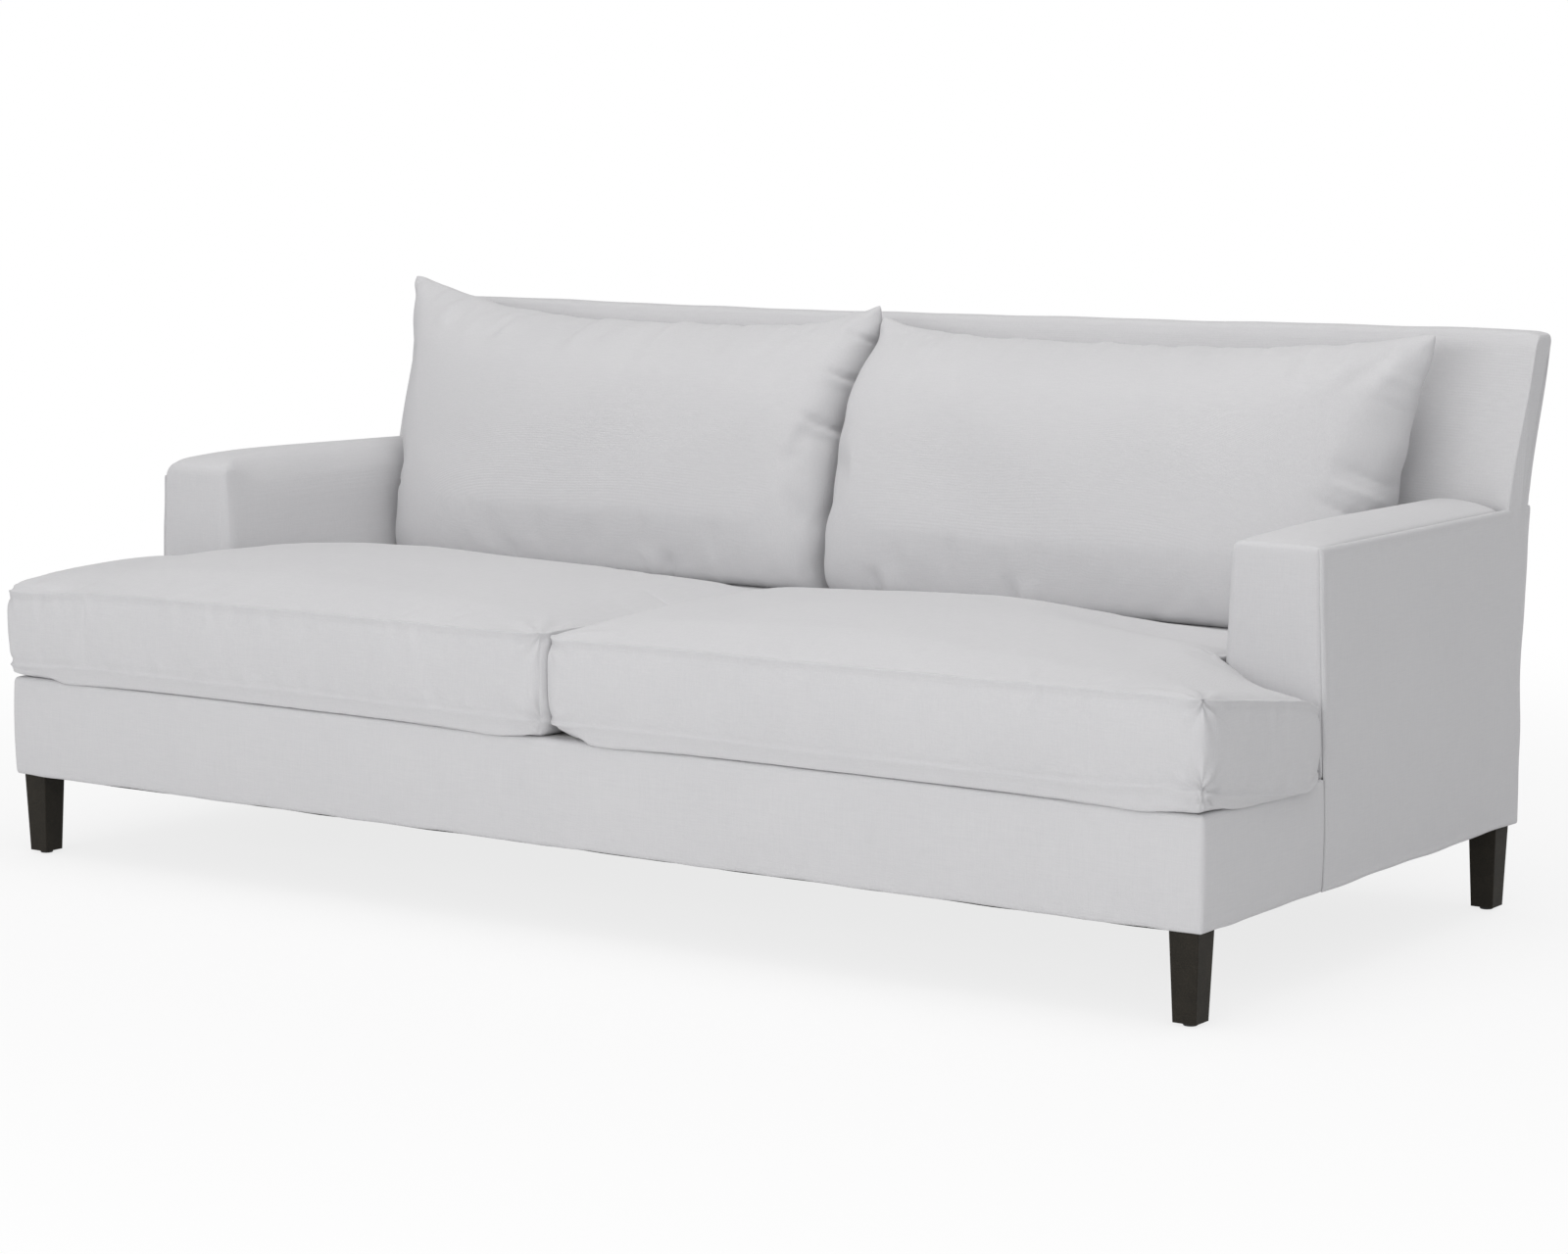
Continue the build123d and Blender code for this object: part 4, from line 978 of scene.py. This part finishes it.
def rear_cloth():
    top = BACK_TOP - 0.020
    zs = lines(BASE_BOTTOM, top, 0.02, (0.0, 0.0025, 0.006, 0.012, 0.022))
    us = lines(-1.0, 1.0, 0.024, (0.0, 0.0015, 0.004, 0.010, 0.018))
    U, Z = np.meshgrid(us, zs, indexing="ij")
    lean = (Z - BASE_TOP) * (HALF_WIDTH - ARM_OUTER_TOP) / (ARM_TOP - BASE_TOP)
    side_x = HALF_WIDTH - np.where(Z < BASE_TOP, 0.0, lean)
    half = np.where(Z < ARM_TOP, side_x - PANEL, ARM_OUTER_TOP - 0.003)
    half = half + np.sign(U) * spread_end(U, Z)
    X = half * U
    t = (Z - BASE_BOTTOM) / (top - BASE_BOTTOM)
    edge = np.minimum.reduce([half - np.abs(X), Z - BASE_BOTTOM, top - Z])
    puff = 0.0035 * unit(1 - U ** 4) * unit(4 * t * (1 - t)) ** 0.5
    ridge = 0.0012 * bump((edge - 0.0045) / 0.006) - 0.0020 * bump(edge / 0.004)
    Y = back_rear(Z) - 0.0005 + np.minimum(puff, 0.003) * 0.5 + ridge
    wave = 0.0013 * ripple(X, 9.0, ((0.37, 1.0), (0.15, 0.6))) * (1 - t) ** 6
    wave = wave + back_line(X, Z)
    outer = np.stack([X, Y, Z + wave], -1)
    inner = np.stack([X, back_rear(Z) - PANEL, Z + wave], -1)
    upholster(slab("rear_cloth", outer, inner), "frame", 1.0, "outside_back_panel", "outside_back_pad")


def thicken(obj, thickness, offset):
    mod = obj.modifiers.new("Thickness", "SOLIDIFY")
    mod.thickness = thickness
    mod.offset = offset


def deck_cloth():
    low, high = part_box("deck")
    xs = np.linspace(low[0], high[0], 132)
    ys = np.linspace(low[1], high[1], 54)
    X, Y = np.meshgrid(xs, ys, indexing="ij")
    narrow = Y > ARM_FRONT + 0.002
    X = np.where(narrow, np.clip(X, -0.9599, 0.9599), X)
    dip = 0.0016 * (0.5 + 0.5 * np.cos(2 * np.pi * X / 0.17)) * (0.5 + 0.5 * np.cos(2 * np.pi * Y / 0.165))
    room = np.minimum.reduce([X - low[0], high[0] - X, Y - low[1], high[1] - Y])
    Z = high[2] - 0.0002 - (0.0008 + dip) * unit(room / 0.05)
    keep = np.ones(X.shape, bool)
    spare = np.abs(xs) > 0.975
    keep[np.ix_(spare, ys > ARM_FRONT + 0.02)] = False
    skin = Skin()
    a = np.where(keep, skin.add(np.stack([X, Y, Z], -1)), -1)
    skin.patch(a)
    obj = skin.make("deck_cloth", skin.trim()[0], MATERIALS["deck_cloth"], 0)
    thicken(obj, 0.005, -1)
    upholster(obj, "frame", 1.0, "deck", slot="deck_cloth")


def underside_cloth():
    low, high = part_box("dust_cover")
    legs = [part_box(f"leg_{p}") for p in ("front_left", "front_right", "rear_left", "rear_right")]
    legs = [((a[0] + b[0]) / 2, (a[1] + b[1]) / 2) for a, b in legs]
    cut = 0.0235
    xs = np.linspace(low[0], high[0], 90).tolist()
    ys = np.linspace(low[1], high[1], 42).tolist()
    for mx, my in legs:
        xs = [x for x in xs if abs(x - mx) > cut + 0.004] + [mx - cut, mx + cut]
        ys = [y for y in ys if abs(y - my) > cut + 0.004] + [my - cut, my + cut]
    xs = np.array(sorted(set(round(x, 6) for x in xs)))
    ys = np.array(sorted(set(round(y, 6) for y in ys)))
    X, Y = np.meshgrid(xs, ys, indexing="ij")
    u = (X - low[0]) / (high[0] - low[0])
    v = (Y - low[1]) / (high[1] - low[1])
    sag = 0.004 * unit(4 * u * (1 - u)) ** 0.7 * unit(4 * v * (1 - v)) ** 0.7
    Z = high[2] - 0.0006 - sag + 0.0006 * ripple(X + 0.7 * Y, 3.0, ((0.2, 1.0), (0.11, 0.6)))
    skin = Skin()
    skin.patch(skin.add(np.stack([X, Y, Z], -1)))
    quads = skin.faces[0]
    mid = skin.array()[quads].mean(axis=1)
    for mx, my in legs:
        keep = (abs(mid[:, 0] - mx) >= cut) | (abs(mid[:, 1] - my) >= cut)
        quads, mid = quads[keep], mid[keep]
    skin.faces = [quads]
    obj = skin.make("underside_cloth", skin.trim()[0], MATERIALS["dust_cloth"], 0)
    thicken(obj, 0.0008, 0)
    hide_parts("dust_cover")
    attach(obj, "frame")


# What sets the cushions apart. Folds: place, reach, height, width, and slant or the end they start from
LEFT_SEAT = {
    "seed": 1.0, "tilt": -0.006, "droop": 0.010, "sink": 0.012, "puff": 0.016, "crown": LEFT_CROWN,
    "end": -0.004, "pinch": 0.35, "drawn": 0.0190, "dip": 0.0,
    "inner_belly": (0.012, 0.10, 2.2), "outer_belly": (0.045, 0.13),
}
RIGHT_SEAT = {
    "seed": 2.6, "tilt": 0.005, "droop": 0.0, "sink": 0.040, "puff": 0.0, "crown": RIGHT_CROWN,
    "end": 0.007, "pinch": 1.0, "drawn": 0.0, "dip": 0.022,
    "inner_belly": (0.060, 0.085, 1.25), "outer_belly": (0.014, 0.10),
}
LEFT_PILLOW = {
    "inner_x": 0.0165, "outer_x": 0.930, "swell": 0.018, "outer_tip": 0.026, "inner_tip": 0.012,
    "mid": 0.394, "outer": 0.464, "inner": 0.438, "flare": 0.066, "belly": 0.226,
    "top_folds": [
        (0.87, 0.05, 0.0034, 0.011, 0.25), (0.84, 0.05, -0.003, 0.01, 0.2), (0.80, 0.06, 0.003, 0.011, 0.15),
        (0.735, 0.05, -0.0034, 0.01, 0.35), (0.71, 0.05, 0.0032, 0.012, 0.35),
        (0.62, 0.04, -0.002, 0.012, 0.1), (0.56, 0.06, 0.0028, 0.012, 0.15),
        (0.53, 0.06, -0.0024, 0.011, 0.1), (0.36, 0.04, -0.0016, 0.014, 0.0)],
    "low_folds": [(0.30, 0.035, -0.0045, 0.010), (0.33, 0.04, 0.0030, 0.014), (0.62, 0.03, -0.0020, 0.012)],
    "side_folds": [
        (0.372, 0.035, -0.0028, 0.008, -1), (0.300, 0.04, -0.0034, 0.008, -1),
        (0.287, 0.04, 0.0026, 0.010, -1), (0.214, 0.05, -0.0038, 0.008, -1),
        (0.200, 0.05, 0.0030, 0.011, -1), (0.07, 0.04, -0.0035, 0.011, 1)],
}
RIGHT_PILLOW = {
    "inner_x": -0.0130, "outer_x": 0.923, "swell": 0.002, "outer_tip": 0.016, "inner_tip": 0.012,
    "mid": 0.390, "outer": 0.426, "inner": 0.418, "flare": 0.052, "belly": 0.228,
    "top_folds": [
        (0.12, 0.05, 0.0025, 0.014, -0.05), (0.17, 0.05, -0.0025, 0.014, 0.0),
        (0.70, 0.05, 0.0022, 0.014, 0.1), (0.78, 0.06, -0.0026, 0.014, 0.15),
        (0.88, 0.07, 0.003, 0.016, -0.4), (0.93, 0.06, -0.003, 0.014, -0.5)],
    "low_folds": [
        (0.11, 0.04, -0.0040, 0.010), (0.14, 0.04, 0.0028, 0.013),
        (0.36, 0.045, -0.0042, 0.011), (0.39, 0.04, 0.0030, 0.014)],
    "side_folds": [
        (0.13, 0.08, -0.0045, 0.010, 1), (0.16, 0.07, 0.0040, 0.011, 1), (0.19, 0.06, -0.0030, 0.010, 1),
        (0.30, 0.05, -0.0020, 0.012, 1), (0.34, 0.06, 0.0024, 0.012, 1)],
}
seats = surface_of(seat_cushion("left", -1, LEFT_SEAT), seat_cushion("right", 1, RIGHT_SEAT))
back_cushion("left", -1, 3.0, LEFT_PILLOW, seats)
back_cushion("right", 1, 5.2, RIGHT_PILLOW, seats)
arm("left", -1, (0.004, -0.0045), LEFT_BLUNT, 0.020)
arm("right", 1, (0.0, 0.0), 0.0, 0.008)
back()
base_band()
side_cloth("left", -1, 1.5, LEFT_BLUNT)
side_cloth("right", 1, 2.5, 0.0)
rear_cloth()
deck_cloth()
underside_cloth()


# Floor, light and camera

def seen_by(tree):
    """1 for rays from the camera, or seen in a gloss or through glass; 0 for the light on the object."""
    path = node(tree, "LightPath").outputs
    share = path["Is Camera Ray"]
    for kind in ("Is Glossy Ray", "Is Transmission Ray"):
        share = node(tree, "Math", {0: share, 1: path[kind]}, operation="MAXIMUM").outputs[0]
    return share


def two_looks(tree, kind, share, lit, seen):
    """Ends the tree in a mix by share: lit as it lights the object, seen as it looks itself."""
    mix = node(tree, "MixShader", {0: share, 1: lit.outputs[0], 2: seen.outputs[0]})
    node(tree, kind, {0: mix.outputs[0]})


floor_mesh = bpy.data.meshes.new("floor")
floor_mesh.from_pydata([(-30, -30, 0), (30, -30, 0), (30, 30, 0), (-30, 30, 0)], [], [(0, 1, 2, 3)])
floor = bpy.data.objects.new("floor", floor_mesh)
scene.collection.objects.link(floor)
fm = bpy.data.materials.new("floor")
fm.use_nodes = True
ft = fm.node_tree
ft.nodes.clear()
# Glows white, wholly so away from the sofa; near it a share of the shadow shows
far = node(ft, "VectorMath", {0: node(ft, "TexCoord").outputs["Object"]}, operation="LENGTH")
fade = {0: far.outputs["Value"], 1: 1.0, 2: 3.2, 3: 0.80, 4: 1.0}
fade = node(ft, "MapRange", fade, interpolation_type="SMOOTHSTEP")
share = node(ft, "Math", {0: fade.outputs[0], 1: seen_by(ft)}, operation="MULTIPLY")
two_looks(ft, "OutputMaterial", share.outputs[0], node(ft, "BsdfDiffuse", {0: (0.90, 0.90, 0.90, 1)}),
          node(ft, "Emission", {0: (1, 1, 1, 1), 1: 1.0}))
floor_mesh.materials.append(fm)

world = bpy.data.worlds.new("studio")
scene.world = world
world.use_nodes = True
wt = world.node_tree
wt.nodes.clear()
two_looks(wt, "OutputWorld", seen_by(wt), node(wt, "Background", {0: (0.985, 0.985, 1.0, 1), 1: 0.49}),
          node(wt, "Background", {0: (1, 1, 1, 1), 1: 1.0}))


def softbox(name, place, target, size, power, colour=(1, 1, 1)):
    lamp = bpy.data.lights.new(name, "AREA")
    lamp.shape = "RECTANGLE"
    lamp.size, lamp.size_y = size
    lamp.energy = power
    lamp.color = colour
    obj = bpy.data.objects.new(name, lamp)
    obj.location = place
    obj.rotation_euler = (Vector(target) - Vector(place)).to_track_quat("-Z", "Y").to_euler()
    scene.collection.objects.link(obj)


softbox("overhead", (0.4, -0.6, 5.2), (0.2, -0.3, 0.0), (5.0, 4.0), 91, (1.0, 0.985, 0.97))
softbox("front", (0.2, -5.0, 1.7), (0.0, 0.0, 0.45), (5.0, 1.6), 64, (1.0, 0.995, 0.995))
softbox("right", (3.6, -3.4, 3.2), (0.0, 0.0, 0.5), (2.4, 2.4), 15)

cam = bpy.data.cameras.new("camera")
cam.sensor_width = 36.0
cam.lens = 91.81
camera = bpy.data.objects.new("camera", cam)
camera.location = (3.56883, -5.06922, 1.24077)
camera.rotation_euler = (math.radians(82.23), 0.0, math.radians(34.74))
scene.collection.objects.link(camera)
scene.camera = camera

scene.view_settings.view_transform = "Standard"
